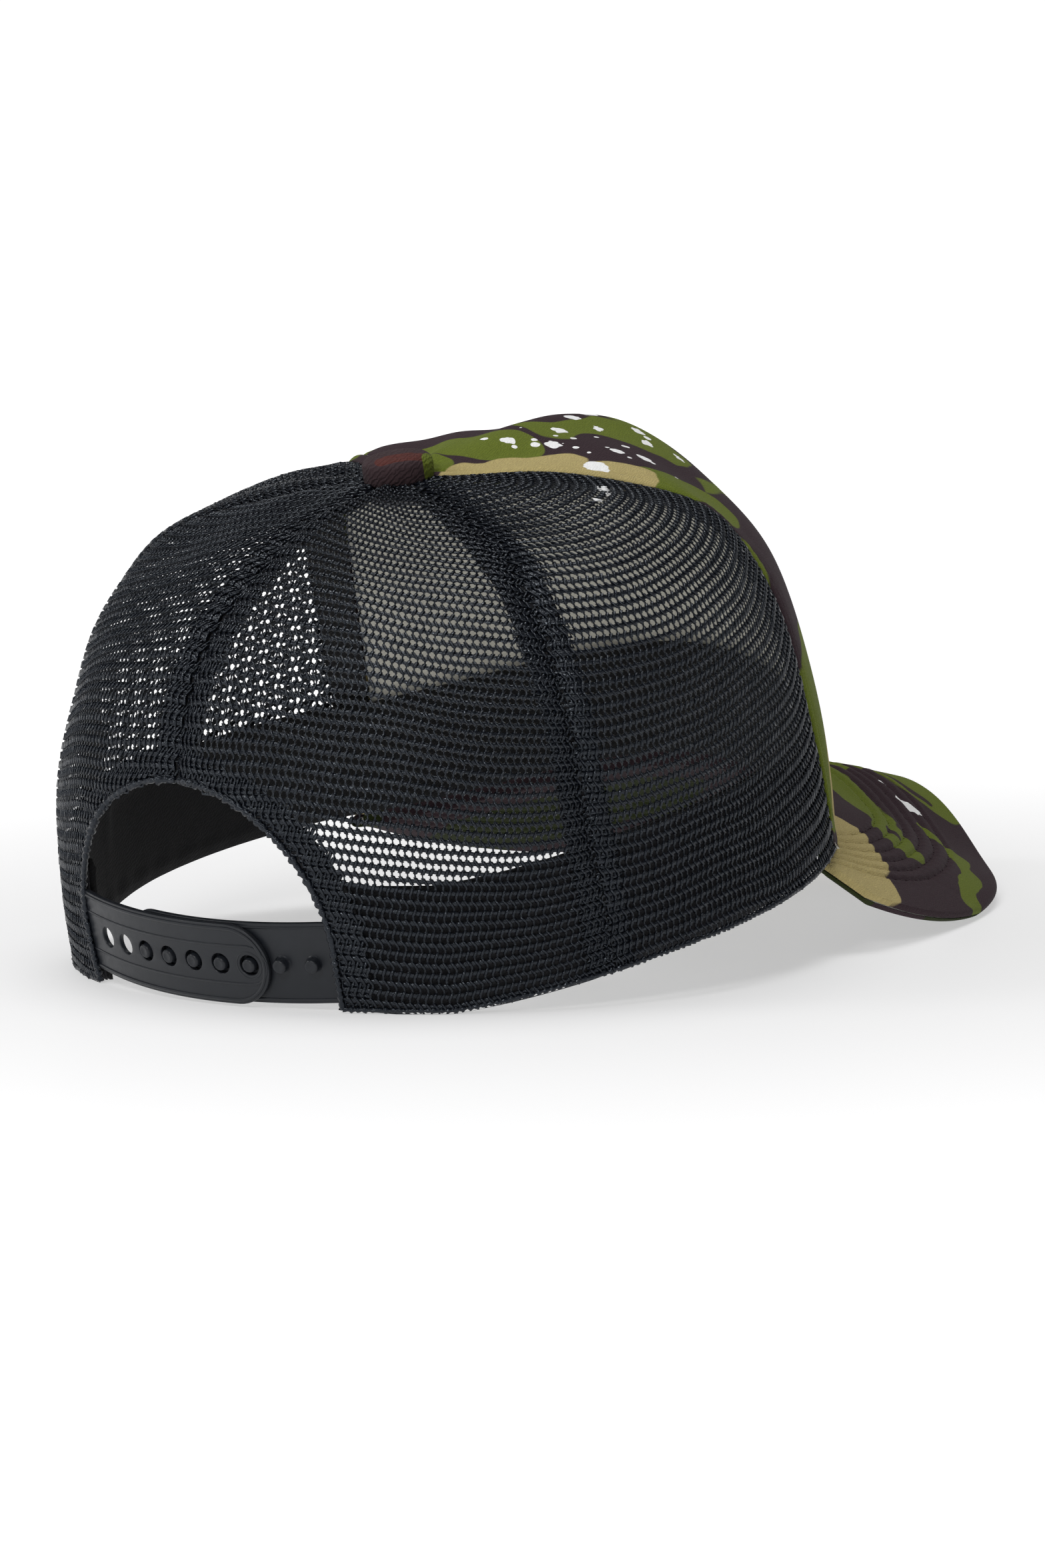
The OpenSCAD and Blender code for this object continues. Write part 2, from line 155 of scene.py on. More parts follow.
def crown_normal(th, t):
    th, t = alike(th, t)
    up = crown_bare(th, np.minimum(t + 0.004, 0.995)) - crown_bare(th, np.maximum(t - 0.004, 0))
    round_ = crown_bare(th + 0.4, t) - crown_bare(th - 0.4, t)
    n = unit(np.cross(up, round_))
    n[..., 2] *= smooth(t, 0, 0.1)
    return unit(n)


def seam_distance(th, t, seam):
    """Distance across the crown from a seam at that angle, in mm."""
    p = crown_bare(th, t) - SEAT
    r = np.maximum(np.hypot(p[..., 0], p[..., 1]), 3)
    away = (np.asarray(th, float) - seam + 180) % 360 - 180
    return r * np.radians(away)


def relief(th, t):
    """How far the sewn cloth stands off the plain crown: hollow at the seams, uneven between them."""
    t = np.asarray(t, float)
    body = smooth(t, 0.03, 0.2) * (1 - smooth(t, 0.9, 0.99))
    d = 0.0
    for seam, hollow, width in SEAM_HOLLOWS:
        d = d - hollow * bump(seam_distance(th, t, seam), width) * body
    th = np.asarray(th, float) % 360
    d = d - 2.3 * bump(th - 171, 13) * bump(t - 0.58, 0.10) + 0.8 * bump(th - 189, 7) * bump(t - 0.46, 0.07)
    d = d + 1.3 * bump(th - 137, 10) * bump(t - 0.70, 0.09)
    th = np.radians(th)
    wave = np.sin(5 * th + 9 * t) * np.sin(13 * t + 1) + 0.6 * np.sin(11 * th - 17 * t + 2)
    off_front = np.abs(np.degrees(th) % 360 - 180)
    crest = smooth(off_front, 6, 26) * (1 - smooth(off_front, 50, 60))
    return d + 0.55 * wave * body - 1.8 * bump(t - 0.47, 0.13) * crest


def crown(th, t, off=0.0):
    """A point of the finished crown, off mm outside its outer surface."""
    th, t, off = alike(th, t, off)
    return finished(crown_bare(th, t) + (off + relief(th, t))[..., None] * crown_normal(th, t))


def t_top(th):
    return 1 - 2.2 / (round3(TOP_RUN, th) + 8)


def t_at(th, h):
    """The t at which the crown is h above its hem, for each angle and each height."""
    ts = np.linspace(0, 0.5, 200)
    z = crown_bare(np.asarray(th, float)[:, None], ts)[..., 2]
    return np.array([np.interp(h, row - row[0], ts) for row in z])


ARCH_T0, ARCH_T1 = t_at([0.0], [ARCH_SPRING, ARCH_HEIGHT])[0]


def arch_edge_th(e):
    return ARCH_HALF + np.asarray(e, float) / 1.62


def in_arch(th, t, e):
    """True inside the back opening grown outward by e mm."""
    away = np.abs((np.asarray(th, float) + 180) % 360 - 180) / arch_edge_th(e)
    roof = ARCH_T0 + (ARCH_T1 - ARCH_T0 + e / 235) * np.sqrt(np.clip(1 - away**2, 0, 1))
    return (away < 1) & (t < roof)


def arch_line(k, e):
    """th and t at k, from 0 to 1, round the opening: up the right side, over and down the left."""
    k, e = alike(k, e)
    a = np.radians(180 * np.clip((k - 0.1) / 0.8, 0, 1))
    th = -arch_edge_th(e) * np.cos(a)
    side = np.minimum(np.minimum(k, 1 - k) / 0.1, 1)
    return th, ARCH_T0 * side + (ARCH_T1 - ARCH_T0 + e / 235) * np.sin(a)


# ---- mesh helpers: every piece is a closed mesh ----
def outward(verts, faces):
    """The same closed mesh with its faces turned outward."""
    verts = np.asarray(verts, float).reshape(-1, 3)
    faces = [np.asarray(f, np.int64) for f in faces if len(f)]
    near = verts - verts.mean(0)
    volume = 0.0
    for f in faces:
        for k in range(1, f.shape[1] - 1):
            volume += np.einsum("ij,ij->", near[f[:, 0]], np.cross(near[f[:, k]], near[f[:, k + 1]]))
    return verts, faces if volume > 0 else [f[:, ::-1] for f in faces]


def new_object(name, data):
    obj = bpy.data.objects.new(name, data)
    bpy.context.scene.collection.objects.link(obj)
    return obj


def piece(name, verts, faces, look, slot, body="cap", replaces=(), sharp=None):
    """Makes a mesh object from points in mm and arrays of faces, riding on a body or left loose."""
    mesh = bpy.data.meshes.new(name)
    mesh.vertices.add(len(verts))
    mesh.vertices.foreach_set("co", (verts * MM).astype(np.float32).ravel())
    loops = np.concatenate([f.ravel() for f in faces])
    sizes = np.concatenate([np.full(len(f), f.shape[1]) for f in faces])
    mesh.loops.add(len(loops))
    mesh.loops.foreach_set("vertex_index", loops.astype(np.int32))
    mesh.polygons.add(len(sizes))
    mesh.polygons.foreach_set("loop_start", np.concatenate([[0], np.cumsum(sizes)[:-1]]).astype(np.int32))
    mesh.polygons.foreach_set("use_smooth", np.full(len(sizes), True))
    mesh.update(calc_edges=True)
    mesh.validate()
    if sharp:
        mesh.set_sharp_from_angle(angle=math.radians(sharp))
    mesh.materials.append(look)
    obj = new_object(name, mesh)
    if body:
        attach(obj, body)
    if replaces:
        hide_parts(*replaces)
    return obj


def slab(outer, inner):
    """Points and faces of a closed slab between two grids of points."""
    n, m = outer.shape[:2]
    k = np.arange(n * m).reshape(n, m)
    quads = []
    for grid in (k, k[::-1] + n * m):
        corners = [grid[:-1, :-1], grid[:-1, 1:], grid[1:, 1:], grid[1:, :-1]]
        quads.append(np.stack(corners, -1).reshape(-1, 4))
    rim = np.concatenate([k[:-1, 0], k[-1, :-1], k[:0:-1, -1], k[0, :0:-1]])
    step = np.roll(rim, -1)
    quads.append(np.stack([rim, step, step + n * m, rim + n * m], -1))
    return outward(np.concatenate([outer.reshape(-1, 3), inner.reshape(-1, 3)]), [np.concatenate(quads)])


def merged(parts):
    """One list of points and faces from several (points, faces) pairs."""
    verts, faces, base = [], [], 0
    for v, fs in parts:
        v = np.asarray(v).reshape(-1, 3)
        verts.append(v)
        faces += [np.asarray(f) + base for f in fs]
        base += len(v)
    return np.concatenate(verts), faces


def around(n, m):
    """Point numbers of n rings of m points, the same one place on, and the faces between rings."""
    k = np.arange(n * m).reshape(n, m)
    nxt = np.roll(k, -1, 1)
    return k, nxt, np.stack([k[:-1], nxt[:-1], nxt[1:], k[1:]], -1).reshape(-1, 4)


def tube(rings):
    """A closed tube through rings of points, one ring after another."""
    k, _, sides = around(*rings.shape[:2])
    return outward(rings.reshape(-1, 3), [sides, k[:1, ::-1], k[-1:]])


def lathe(profile, sides=64):
    """A closed turned shape round Z; the profile runs from the axis to the axis."""
    a = turns(sides)
    r, z = np.array(profile, float).T
    inner = slice(1, len(r) - 1)
    rings = np.stack([np.outer(r[inner], np.cos(a)), np.outer(r[inner], np.sin(a)),
                      np.repeat(z[inner, None], sides, 1)], -1)
    k, nxt, quads = around(len(rings), sides)
    low, high = k.size, k.size + 1
    caps = np.concatenate([np.stack([np.full(sides, low), nxt[0], k[0]], -1),
                           np.stack([np.full(sides, high), k[-1], nxt[-1]], -1)])
    verts = np.concatenate([rings.reshape(-1, 3), [[0, 0, z[0]], [0, 0, z[-1]]]])
    return outward(verts, [quads, caps])


def stitches(points, ups, length, width, height):
    """One rounded stitch on each point, along the line from point to point."""
    ends = np.linspace(0, np.pi, 6)[1:-1]
    ring = turns(6)
    along = unit(np.gradient(points, axis=0))
    across = unit(np.cross(along, ups))
    up = np.cross(across, along)
    parts = []
    for p, a, c, u in zip(points, along, across, up):
        rings = np.array([[p - a * math.cos(e) * length / 2 + (c * math.cos(r) * width / 2
                          + u * math.sin(r) * height / 2) * math.sin(e) ** 0.5 for r in ring] for e in ends])
        parts.append(tube(rings))
    return merged(parts)


# ---- materials ----
class Nodes:
    """A material's node tree, with a short way to add and link nodes."""

    def __init__(self, name, colour, roughness, **shader):
        self.base = colour
        self.material = bpy.data.materials.new(name)
        self.material.use_nodes = True
        self.material.diffuse_color = (*colour, 1)
        self.tree = self.material.node_tree
        self.shader = self.tree.nodes["Principled BSDF"]
        self.shader.inputs["Base Color"].default_value = (*colour, 1)
        self.shader.inputs["Roughness"].default_value = roughness
        for key, value in shader.items():
            self.shader.inputs[key.replace("_", " ")].default_value = value
        coords = self.tree.nodes.new("ShaderNodeTexCoord").outputs["Object"]
        self.mm = self.vector("MULTIPLY", coords, (1 / MM,) * 3)

    def add(self, kind, ins=None, **props):
        node = self.tree.nodes.new(kind)
        for key, value in props.items():
            setattr(node, key, value)
        for key, value in (ins or {}).items():
            if isinstance(value, bpy.types.NodeSocket):
                self.tree.links.new(value, node.inputs[key])
            else:
                node.inputs[key].default_value = value
        return node

    def vector(self, operation, *values, out=0):
        return self.add("ShaderNodeVectorMath", operation=operation, ins=dict(enumerate(values))).outputs[out]

    def wander(self, scale, detail, spread):
        """Positions in mm, nudged about by noise."""
        noise = self.add("ShaderNodeTexNoise", ins={"Vector": self.mm, "Scale": scale, "Detail": detail})
        nudged = self.vector("MULTIPLY_ADD", noise.outputs["Color"], (spread,) * 3, self.mm)
        return self.vector("SUBTRACT", nudged, (spread / 2,) * 3)

    def math(self, operation, a, b=0.0, clamp=False):
        return self.add("ShaderNodeMath", operation=operation, use_clamp=clamp, ins={0: a, 1: b}).outputs[0]

    def noise(self, scale, detail=2.0, where=None, rough=0.5):
        return self.add("ShaderNodeTexNoise", ins={"Vector": where or self.mm, "Scale": scale,
                        "Detail": detail, "Roughness": rough}).outputs[0]

    def ramp(self, value, low, high, to_low=0.0, to_high=1.0):
        ends = {0: value, 1: low, 2: high, 3: to_low, 4: to_high}
        return self.add("ShaderNodeMapRange", ins=ends).outputs[0]

    def mix(self, amount, a, b):
        node = self.add("ShaderNodeMix", data_type="RGBA", ins={0: amount, 6: a, 7: b})
        return node.outputs[2]

    def colour(self, socket):
        self.tree.links.new(socket, self.shader.inputs["Base Color"])

    def roughness(self, socket):
        self.tree.links.new(socket, self.shader.inputs["Roughness"])

    def bump(self, height, distance, strength=1.0):
        """Raises the surface by height times distance, in mm."""
        size = {"Strength": strength, "Distance": distance * MM, "Height": height}
        node = self.add("ShaderNodeBump", ins=size)
        self.tree.links.new(node.outputs[0], self.shader.inputs["Normal"])

    def tint(self, colour, spread, value):
        """Varies a colour by a share of itself."""
        dark = (*[c * (1 - spread) for c in colour], 1)
        light = (*[c * (1 + spread) for c in colour], 1)
        return self.mix(value, dark, light)

    def dye(self, spread, scale, detail, rough=0.5):
        """Gives the surface its own colour, uneven by a share of itself."""
        self.colour(self.tint(self.base, spread, self.noise(scale, detail, rough=rough)))


BARK, OLIVE, TAN = (0.034, 0.019, 0.024), (0.118, 0.150, 0.017), (0.430, 0.350, 0.150)
RUST, MOSS, PALE_BARK = (0.085, 0.026, 0.022), (0.022, 0.030, 0.006), (0.044, 0.027, 0.030)
SPOT_WHITE = (0.86, 0.86, 0.86)
SPOT_EDGE = (0.45, 1.0, 2.4)


def ribs(look, scale, direction):
    """Fine ribs of knit: a wave across the surface, broken up a little."""
    turned = look.vector("DOT_PRODUCT", look.mm, direction, out="Value")
    broken = look.math("MULTIPLY", look.noise(0.8, 1.0), 1.6)
    return look.math("SINE", look.math("MULTIPLY", look.math("ADD", turned, broken), 2 * math.pi / scale))


def splatter(look, zones, wobble):
    """Scattered paint dots of several sizes inside the zones, thinner towards their edges."""
    masks = None
    crowd = look.math("ADD", nearness(look, zones, wobble), look.math("MULTIPLY", look.noise(0.10, 1.0), 0.7))
    ragged = look.add("ShaderNodeTexNoise", ins={"Vector": look.mm, "Scale": 0.5}).outputs["Color"]
    shifted = look.vector("MULTIPLY_ADD", ragged, (0.7,) * 3, look.mm)
    for scale, size, least in ((0.12, 0.14, 0.90), (0.19, 0.15, 0.95)):
        cells = look.add("ShaderNodeTexVoronoi", ins={"Vector": shifted, "Scale": scale})
        dot = look.math("LESS_THAN", cells.outputs["Distance"], size)
        spot = look.math("MULTIPLY", dot, look.math("GREATER_THAN", crowd, least))
        masks = spot if masks is None else look.math("MAXIMUM", masks, spot)
    return masks


def nearness(look, bars, where):
    """1 on the middle line of the nearest bar, 0 at its edge; a bar has two end points and a radius in mm."""
    best = None
    for start, end, radius in bars:
        start, end = np.array(start, float), np.array(end, float)
        run = end - start
        share = run / max(float(run @ run), 1e-6)
        k = look.vector("DOT_PRODUCT", where, tuple(share), out="Value")
        k = look.math("SUBTRACT", k, float(start @ share), clamp=True)
        along = look.add("ShaderNodeCombineXYZ", ins={0: k, 1: k, 2: k}).outputs[0]
        spot = look.vector("MULTIPLY_ADD", along, tuple(run), tuple(start))
        away = look.vector("DISTANCE", where, spot, out="Value")
        inside = look.math("SUBTRACT", 1.0, look.math("DIVIDE", away, float(radius)))
        best = inside if best is None else look.math("MAXIMUM", best, inside)
    return best


def camo(name, prints, zones=(), blobs=(), swirl=9.0, rib=0.55, depth=0.045):
    """Knitted cloth, printed with rounded patches in painter's order and spattered inside the zones."""
    look = Nodes(name, OLIVE, 0.85, Sheen_Weight=0.02, Sheen_Roughness=0.5, Specular_IOR_Level=0.14)
    wobble = look.wander(0.07, 1.5, swirl)
    knit_ribs = ribs(look, rib, (0.6, 0.35, 0.72))
    # The knit tint is random tone from noise plus, in step with the rib bump, painted shade in the rib
    # grooves and painted highlight on the rib crests.
    knit = look.math("ADD", look.math("MULTIPLY", look.noise(1.1, 3.0, rough=0.7), 0.75),
                     look.math("MULTIPLY", knit_ribs, 0.16))
    shade = look.mix(look.ramp(look.noise(0.021, 1.0), 0.50, 0.507), look.tint(BARK, 0.35, knit),
                     look.tint(OLIVE, 0.25, knit))
    for colour, *bars in prints:
        mask = look.ramp(nearness(look, bars, wobble), -0.03, 0.03)
        shade = look.mix(mask, shade, look.tint(colour, 0.22, knit))
    if zones:
        shade = look.mix(splatter(look, zones, wobble), shade, (*SPOT_WHITE, 1))
    if blobs:
        white_spots = nearness(look, blobs, look.wander(*SPOT_EDGE))
        shade = look.mix(look.ramp(white_spots, -0.05, 0.05), shade, (*SPOT_WHITE, 1))
    look.colour(shade)
    look.bump(look.math("ADD", knit_ribs, look.noise(2.4, 2.0)), depth, 0.8)
    return look.material


def plain_cloth(name, colour, rough=0.9, scale=0.7, direction=(0.5, 0.5, 0.7), depth=0.05, **shader):
    """Woven or knitted cloth of one colour, with ribs, fuzz and uneven dye."""
    look = Nodes(name, colour, rough, **shader)
    look.dye(0.35, 0.35, 4.0, 0.7)
    look.bump(look.math("ADD", ribs(look, scale, direction), look.noise(1.7, 3.0)), depth, 0.8)
    return look.material


def net_yarn():
    """Shiny black net yarn, with a bluish cast and streaks along the strands."""
    look = Nodes("net_yarn", (0.003, 0.004, 0.007), 0.25, Specular_IOR_Level=0.46,
                 Specular_Tint=(0.82, 0.90, 1.0, 1))
    # A few white spots on the yarn, high on the right side panel.
    white_spots = nearness(look, NET_WHITE_SPOTS, look.wander(*SPOT_EDGE))
    yarn = look.tint(look.base, 0.5, look.noise(0.9, 3.0, rough=0.7))
    look.colour(look.mix(look.ramp(white_spots, -0.05, 0.05), yarn, (*SPOT_WHITE, 1)))
    look.roughness(look.ramp(look.noise(1.4, 2.0), 0.3, 0.7, 0.15, 0.31))
    look.bump(ribs(look, 0.28, (0.3, 0.2, 0.93)), 0.02, 0.6)
    return look.material


def plastic(name, colour, rough):
    """Moulded plastic: soft sheen, faint mottling and fine scratches."""
    look = Nodes(name, colour, rough, Specular_IOR_Level=0.35)
    look.dye(0.15, 0.25, 3.0)
    look.roughness(look.ramp(look.noise(0.6, 4.0, rough=0.7), 0.25, 0.75, rough - 0.07, rough + 0.12))
    look.bump(look.noise(2.2, 3.0), 0.012, 0.6)
    return look.material


def foam_look():
    """Open-cell foam with a smooth knitted lining, yellowed a little."""
    look = Nodes("foam", (0.78, 0.76, 0.68), 0.95)
    look.dye(0.12, 0.12, 4.0)
    look.bump(look.math("ADD", look.noise(1.3, 3.0), look.noise(4.0, 1.0)), 0.12, 0.7)
    return look.material


def metal(name, colour):
    look = Nodes(name, colour, 0.38, Metallic=1.0)
    look.roughness(look.ramp(look.noise(0.8, 3.0), 0.3, 0.7, 0.28, 0.5))
    look.dye(0.12, 0.3, 4.0)
    look.bump(look.noise(3.0, 2.0), 0.008, 0.5)
    return look.material


def thread_look(name, colour):
    look = Nodes(name, colour, 0.6, Sheen_Weight=0.2)
    look.dye(0.4, 0.5, 3.0)
    look.bump(ribs(look, 0.35, (0.5, 0.6, 0.6)), 0.04, 0.8)
    return look.material


def bar(where, start, end, radius):
    """A rounded bar of print between two places on a surface."""
    return (where(*start).tolist(), where(*end).tolist(), radius)


def bars_on(where, rows):
    """Bars from rows that hold two places on the surface and a radius in mm."""
    return [bar(where, row[:2], row[2:4], row[4]) for row in rows]


def printed(where, patches):
    """Patches of a print: each is a colour followed by its rows of bars."""
    return [(colour, *bars_on(where, rows)) for colour, *rows in patches]


def on_visor(u, v):
    return visor(u, v, BOARD_HALF + COVER_T)


# White spots on the net yarn, high on the right side panel.
NET_WHITE_SPOTS = bars_on(crown, [
    (252, 0.78, 253, 0.78, 1.7), (256, 0.77, 257, 0.77, 1.0), (263, 0.78, 263, 0.775, 0.9)])
YARN = net_yarn()
PLASTIC_OUT = plastic("strap_plastic", (0.014, 0.016, 0.020), 0.34)
PLASTIC_IN = plastic("strap_plastic_inner", (0.011, 0.013, 0.017), 0.38)
BLACK_CLOTH = plain_cloth("band_cloth", (0.004, 0.004, 0.005), 0.95)
TWILL = plain_cloth("seam_tape_twill", (0.009, 0.009, 0.011), 0.82, 0.9, (0.2, 0.6, 0.75), 0.09)
THREAD = thread_look("dark_thread", (0.020, 0.016, 0.017))


# ---- net: staggered cells with one hole each, and a slanted lump of yarn from row to row ----
PITCH, ROW = 1.75, 2.45
HOLE_W, HOLE_H = 0.71, 0.80
SHEET_TOP, SHEET_LOW, YARN_TOP = -0.28, -0.50, 0.10
LUMP_HALF, LUMP_END, FOLD_DEPTH = 0.50, 0.38, -0.30


def edge_points():
    """The cell's edge and hole, eight points each, in mm from the cell's middle."""
    p, q = PITCH / 2, ROW / 2
    outer = np.array([(-p, 0), (-p, -q), (0, -q), (p, -q), (p, 0), (p, q), (0, q), (-p, q)])
    a, b, c = HOLE_W, HOLE_H, 0.86
    hole = np.array([(-a, 0), (-a * c, -b * c), (0, -b), (a * c, -b * c), (a, 0), (a * c, b * c), (0, b),
                     (-a * c, b * c)])
    return outer, hole


class Panel:
    """Lays flat cell positions on a panel: U runs round from its centre line and W up from the hem."""

    def __init__(self, th_a, th_b):
        self.th_a, self.th_b, self.mid = th_a, th_b, (th_a + th_b) / 2
        self.ts = np.linspace(0, 0.999, 500)
        line = crown_bare(np.full(500, self.mid), self.ts)
        self.up = run_along(line)
        self.ths = np.linspace(th_a - 14, th_b + 14, 140)

    def place(self, u, w):
        """th and t of the flat points."""
        t = np.interp(w, self.up, self.ts)
        levels, which = np.unique(np.round(t, 6), return_inverse=True)
        th = np.empty(t.shape)
        rows = crown_bare(self.ths[None, :], levels[:, None])
        run = np.cumsum(np.linalg.norm(np.diff(rows, axis=1), axis=2), axis=1)
        run = np.concatenate([np.zeros((len(levels), 1)), run], 1)
        order = np.argsort(which.ravel(), kind="stable")
        starts = np.searchsorted(which.ravel()[order], np.arange(len(levels) + 1))
        flat_u, flat_th = u.ravel(), th.reshape(-1)
        for i in range(len(levels)):
            idx = order[starts[i]:starts[i + 1]]
            middle = np.interp(self.mid, self.ths, run[i])
            flat_th[idx] = np.interp(flat_u[idx] + middle, run[i], self.ths)
        return flat_th.reshape(t.shape), t


def net(panel, keep, depth=0.0, shift=(0.0, 0.0), yarns=True):
    """Points and faces of the net where keep(th, t) is true at a cell's middle."""
    half = 75
    cols, rows = np.meshgrid(np.arange(-half, half + 1), np.arange(0, int(panel.up[-1] / ROW) + 1))
    cu = (cols + 0.5 * (rows % 2)) * PITCH + shift[0]
    cw = (rows + 0.5) * ROW + shift[1]
    cu, cw, odd = cu.ravel(), cw.ravel(), (rows % 2).ravel()
    th, t = panel.place(cu, cw)
    good = keep(th, t) & (cw < panel.up[-1] - 1)
    cu, cw, odd = cu[good], cw[good], odd[good]
    n = len(cu)
    edge, hole = edge_points()
    eu, ew = cu[:, None] + edge[:, 0], cw[:, None] + edge[:, 1]
    key = np.round(np.stack([eu / PITCH * 4, ew / ROW * 4], -1)).astype(np.int64).reshape(-1, 2)
    _, first, index = np.unique(key, axis=0, return_index=True, return_inverse=True)
    index = index.reshape(n, 8)
    su, sw = eu.ravel()[first], ew.ravel()[first]
    ns = len(su)
    hu = cu[:, None] + hole[:, 0] * (1 + rng.normal(0, 0.035, (n, 1))) + rng.normal(0, 0.02, (n, 8))
    hw = cw[:, None] + hole[:, 1] * (1 + rng.normal(0, 0.05, (n, 1))) + rng.normal(0, 0.02, (n, 8))
    ring = np.arange(n * 8).reshape(n, 8)
    top, low = SHEET_TOP + depth, SHEET_LOW + depth
    layers = [(su, sw, top), (su, sw, low), (hu, hw, top), (hu, hw, low)]
    e1, e0, h1, h0 = index, index + ns, ring + 2 * ns, ring + 2 * ns + 8 * n
    nx = [1, 2, 3, 4, 5, 6, 7, 0]
    quads = [np.stack([e1, h1, h1[:, nx], e1[:, nx]], -1), np.stack([e0, e0[:, nx], h0[:, nx], h0], -1),
             np.stack([h1, h0, h0[:, nx], h1[:, nx]], -1)]
    quads = [q.reshape(-1, 4) for q in quads]
    sides = np.stack([e1, e1[:, nx]], -1).reshape(-1, 2)
    _, where, count = np.unique(np.sort(sides, 1), axis=0, return_index=True, return_counts=True)
    rim = sides[where[count == 1]]
    quads.append(np.stack([rim[:, 0], rim[:, 1], rim[:, 1] + ns, rim[:, 0] + ns], -1))
    base = 2 * ns + 16 * n
    if yarns:
        lean = np.where(odd == 0, 1.0, -1.0)
        path_u = np.stack([cu - PITCH / 2, cu - PITCH / 2 + lean * PITCH / 2], -1)
        path_w = np.stack([cw + LUMP_END, cw + ROW - LUMP_END], -1)
        foot = SHEET_TOP - 0.04
        section = np.array([(-LUMP_HALF, foot), (-0.26, YARN_TOP - 0.12), (0.20, YARN_TOP),
                            (LUMP_HALF, foot)])
        yu = path_u[:, :, None] + lean[:, None, None] * section[:, 0] + rng.normal(0, 0.03, (n, 2, 1))
        yw = path_w[:, :, None] + rng.normal(0, 0.04, (n, 2, 1)) + 0 * yu
        tall = rng.normal(0, 0.05, (n, 2, 4)) * (section[:, 1] > SHEET_TOP)
        yd = section[:, 1] + depth + tall
        layers.append((yu, yw, yd))
        k = np.arange(n * 8).reshape(n, 2, 4) + base
        k[odd == 1] = k[odd == 1][:, :, ::-1]
        for i in range(4):
            i2 = (i + 1) % 4
            quads.append(np.stack([k[:, 0, i], k[:, 0, i2], k[:, 1, i2], k[:, 1, i]], -1))
        quads += [k[:, 0, ::-1], k[:, 1, :]]
    u, w, d = np.concatenate([np.stack(alike(*layer), -1).reshape(-1, 3) for layer in layers]).T
    u = u + 0.35 * np.sin(w / 9.0 + 1) * np.sin(u / 17.0)
    w = np.maximum(w + 0.6 * np.sin(u / 13.0 + w / 31.0) + 0.25 * np.sin(u / 5.5 - w / 19.0), 0)
    th, t = panel.place(u, w)
    verts = crown(th, t, d)
    return outward(verts, [np.concatenate(quads)])


def rolled_edge(th, t, radius, depth, lumps):
    """A lumpy rolled edge of net along a line of the crown."""
    n, m = len(th), 7
    k = np.arange(n)
    size = radius * (1 + 0.34 * np.sin(k * lumps) + rng.normal(0, 0.16, n))
    a = turns(m)
    centre = crown(th, t, depth)
    along = unit(np.gradient(centre, axis=0))
    out_ = crown_normal(th, t)
    across = unit(np.cross(along, out_))
    out_ = np.cross(across, along)
    rings = centre[:, None] + size[:, None, None] * (np.cos(a)[:, None] * out_[:, None]
                                                     + np.sin(a)[:, None] * across[:, None])
    rings[..., 2] = np.maximum(rings[..., 2], 0.02)
    return tube(rings)


def hem_edge(th_a, th_b):
    th = np.linspace(th_a, th_b, int(abs(th_b - th_a) * 3.4))
    return rolled_edge(th, np.full(len(th), 0.0035), 0.62, -0.45, 1.9)


def panel_tests(th_a, th_b):
    """Tests for places on a panel: distance in from its seams, its whole area, its folded seams."""
    def inset(th, t):
        return np.minimum(seam_distance(th, t, th_a), -seam_distance(th, t, th_b))

    def whole(th, t):
        return (inset(th, t) > 0.3) & (t < t_top(th))

    def folded(th, t):
        near = inset(th, t)
        return (near > 0.4) & (near < 5.6) & (t < t_top(th) - 0.01)

    return inset, whole, folded


def side_net(side, th_a, th_b):
    """A side panel's net, doubled where it is folded back at its seams."""
    panel = Panel(th_a, th_b)
    _, whole, folded = panel_tests(th_a, th_b)
    parts = [net(panel, whole), net(panel, folded, FOLD_DEPTH, (0.6, 1.0), yarns=False), hem_edge(th_a, th_b)]
    piece("side_net_" + side, *merged(parts), YARN, "mesh", replaces=["side_mesh_" + side])


def rear_net(side, th_a, th_b):
    """A rear panel's net: it runs to the edge of the back opening, where it is folded in."""
    panel = Panel(th_a, th_b)
    inset, whole, folded = panel_tests(th_a, th_b)

    def outside_arch(th, t):
        return whole(th, t) & ~in_arch(th, t, 0.9)

    def doubled(th, t):
        arch = in_arch(th, t, BINDING_W - 0.6) & (inset(th, t) > 0.4)
        return (folded(th, t) | arch) & ~in_arch(th, t, 1.0)

    sign = 1 if side == "left" else -1
    hem = hem_edge(float(arch_edge_th(0.6)) * sign, SIDE_SEAM * sign)
    k = np.linspace(0, 1, 240)
    k = k[k >= 0.5] if sign > 0 else k[k <= 0.5]
    th, t = arch_line(k, 0.5)
    edge = rolled_edge(th, np.maximum(t, 0.004), 0.80, -0.45, 2.1)
    parts = [net(panel, outside_arch), net(panel, doubled, FOLD_DEPTH, (0.7, 1.1)), hem, edge]
    piece("rear_net_" + side, *merged(parts), YARN, "mesh", replaces=["rear_mesh_" + side])


side_net("left", SIDE_SEAM, LEFT_FRONT)
side_net("right", RIGHT_FRONT, 360 - SIDE_SEAM)
rear_net("left", 0, SIDE_SEAM)
rear_net("right", -SIDE_SEAM, 0)


# ---- crown front: knitted face over foam ----
def edge_gap(th, t):
    """Distance from the nearer seam of the front panel."""
    return np.minimum(-seam_distance(th, t, RIGHT_FRONT), seam_distance(th, t, LEFT_FRONT))


def front_swell(th, t):
    """The folded edge, the stitch line 3 mm in, small puckers along it, and the foam beyond."""
    d = edge_gap(th, t)
    run = 150 * t
    puckers = 0.10 * np.sin(run * 2 * np.pi / 3.3) * bump(d - 3.2, 1.3)
    return 0.65 * bump(d - 1.2, 1.2) - 0.50 * bump(d - 3.1, 0.55) + 0.40 * smooth(d, 3.2, 8) + puckers


def front_grid(n, m, off, swell=True):
    th = np.linspace(LEFT_FRONT, RIGHT_FRONT, n)[:, None]
    t = t_top(th) * np.linspace(0, 1, m)[None, :]
    extra = front_swell(th, t) * smooth(t, 0.01, 0.05) if swell else 0.0
    return crown(th, t, off + extra)


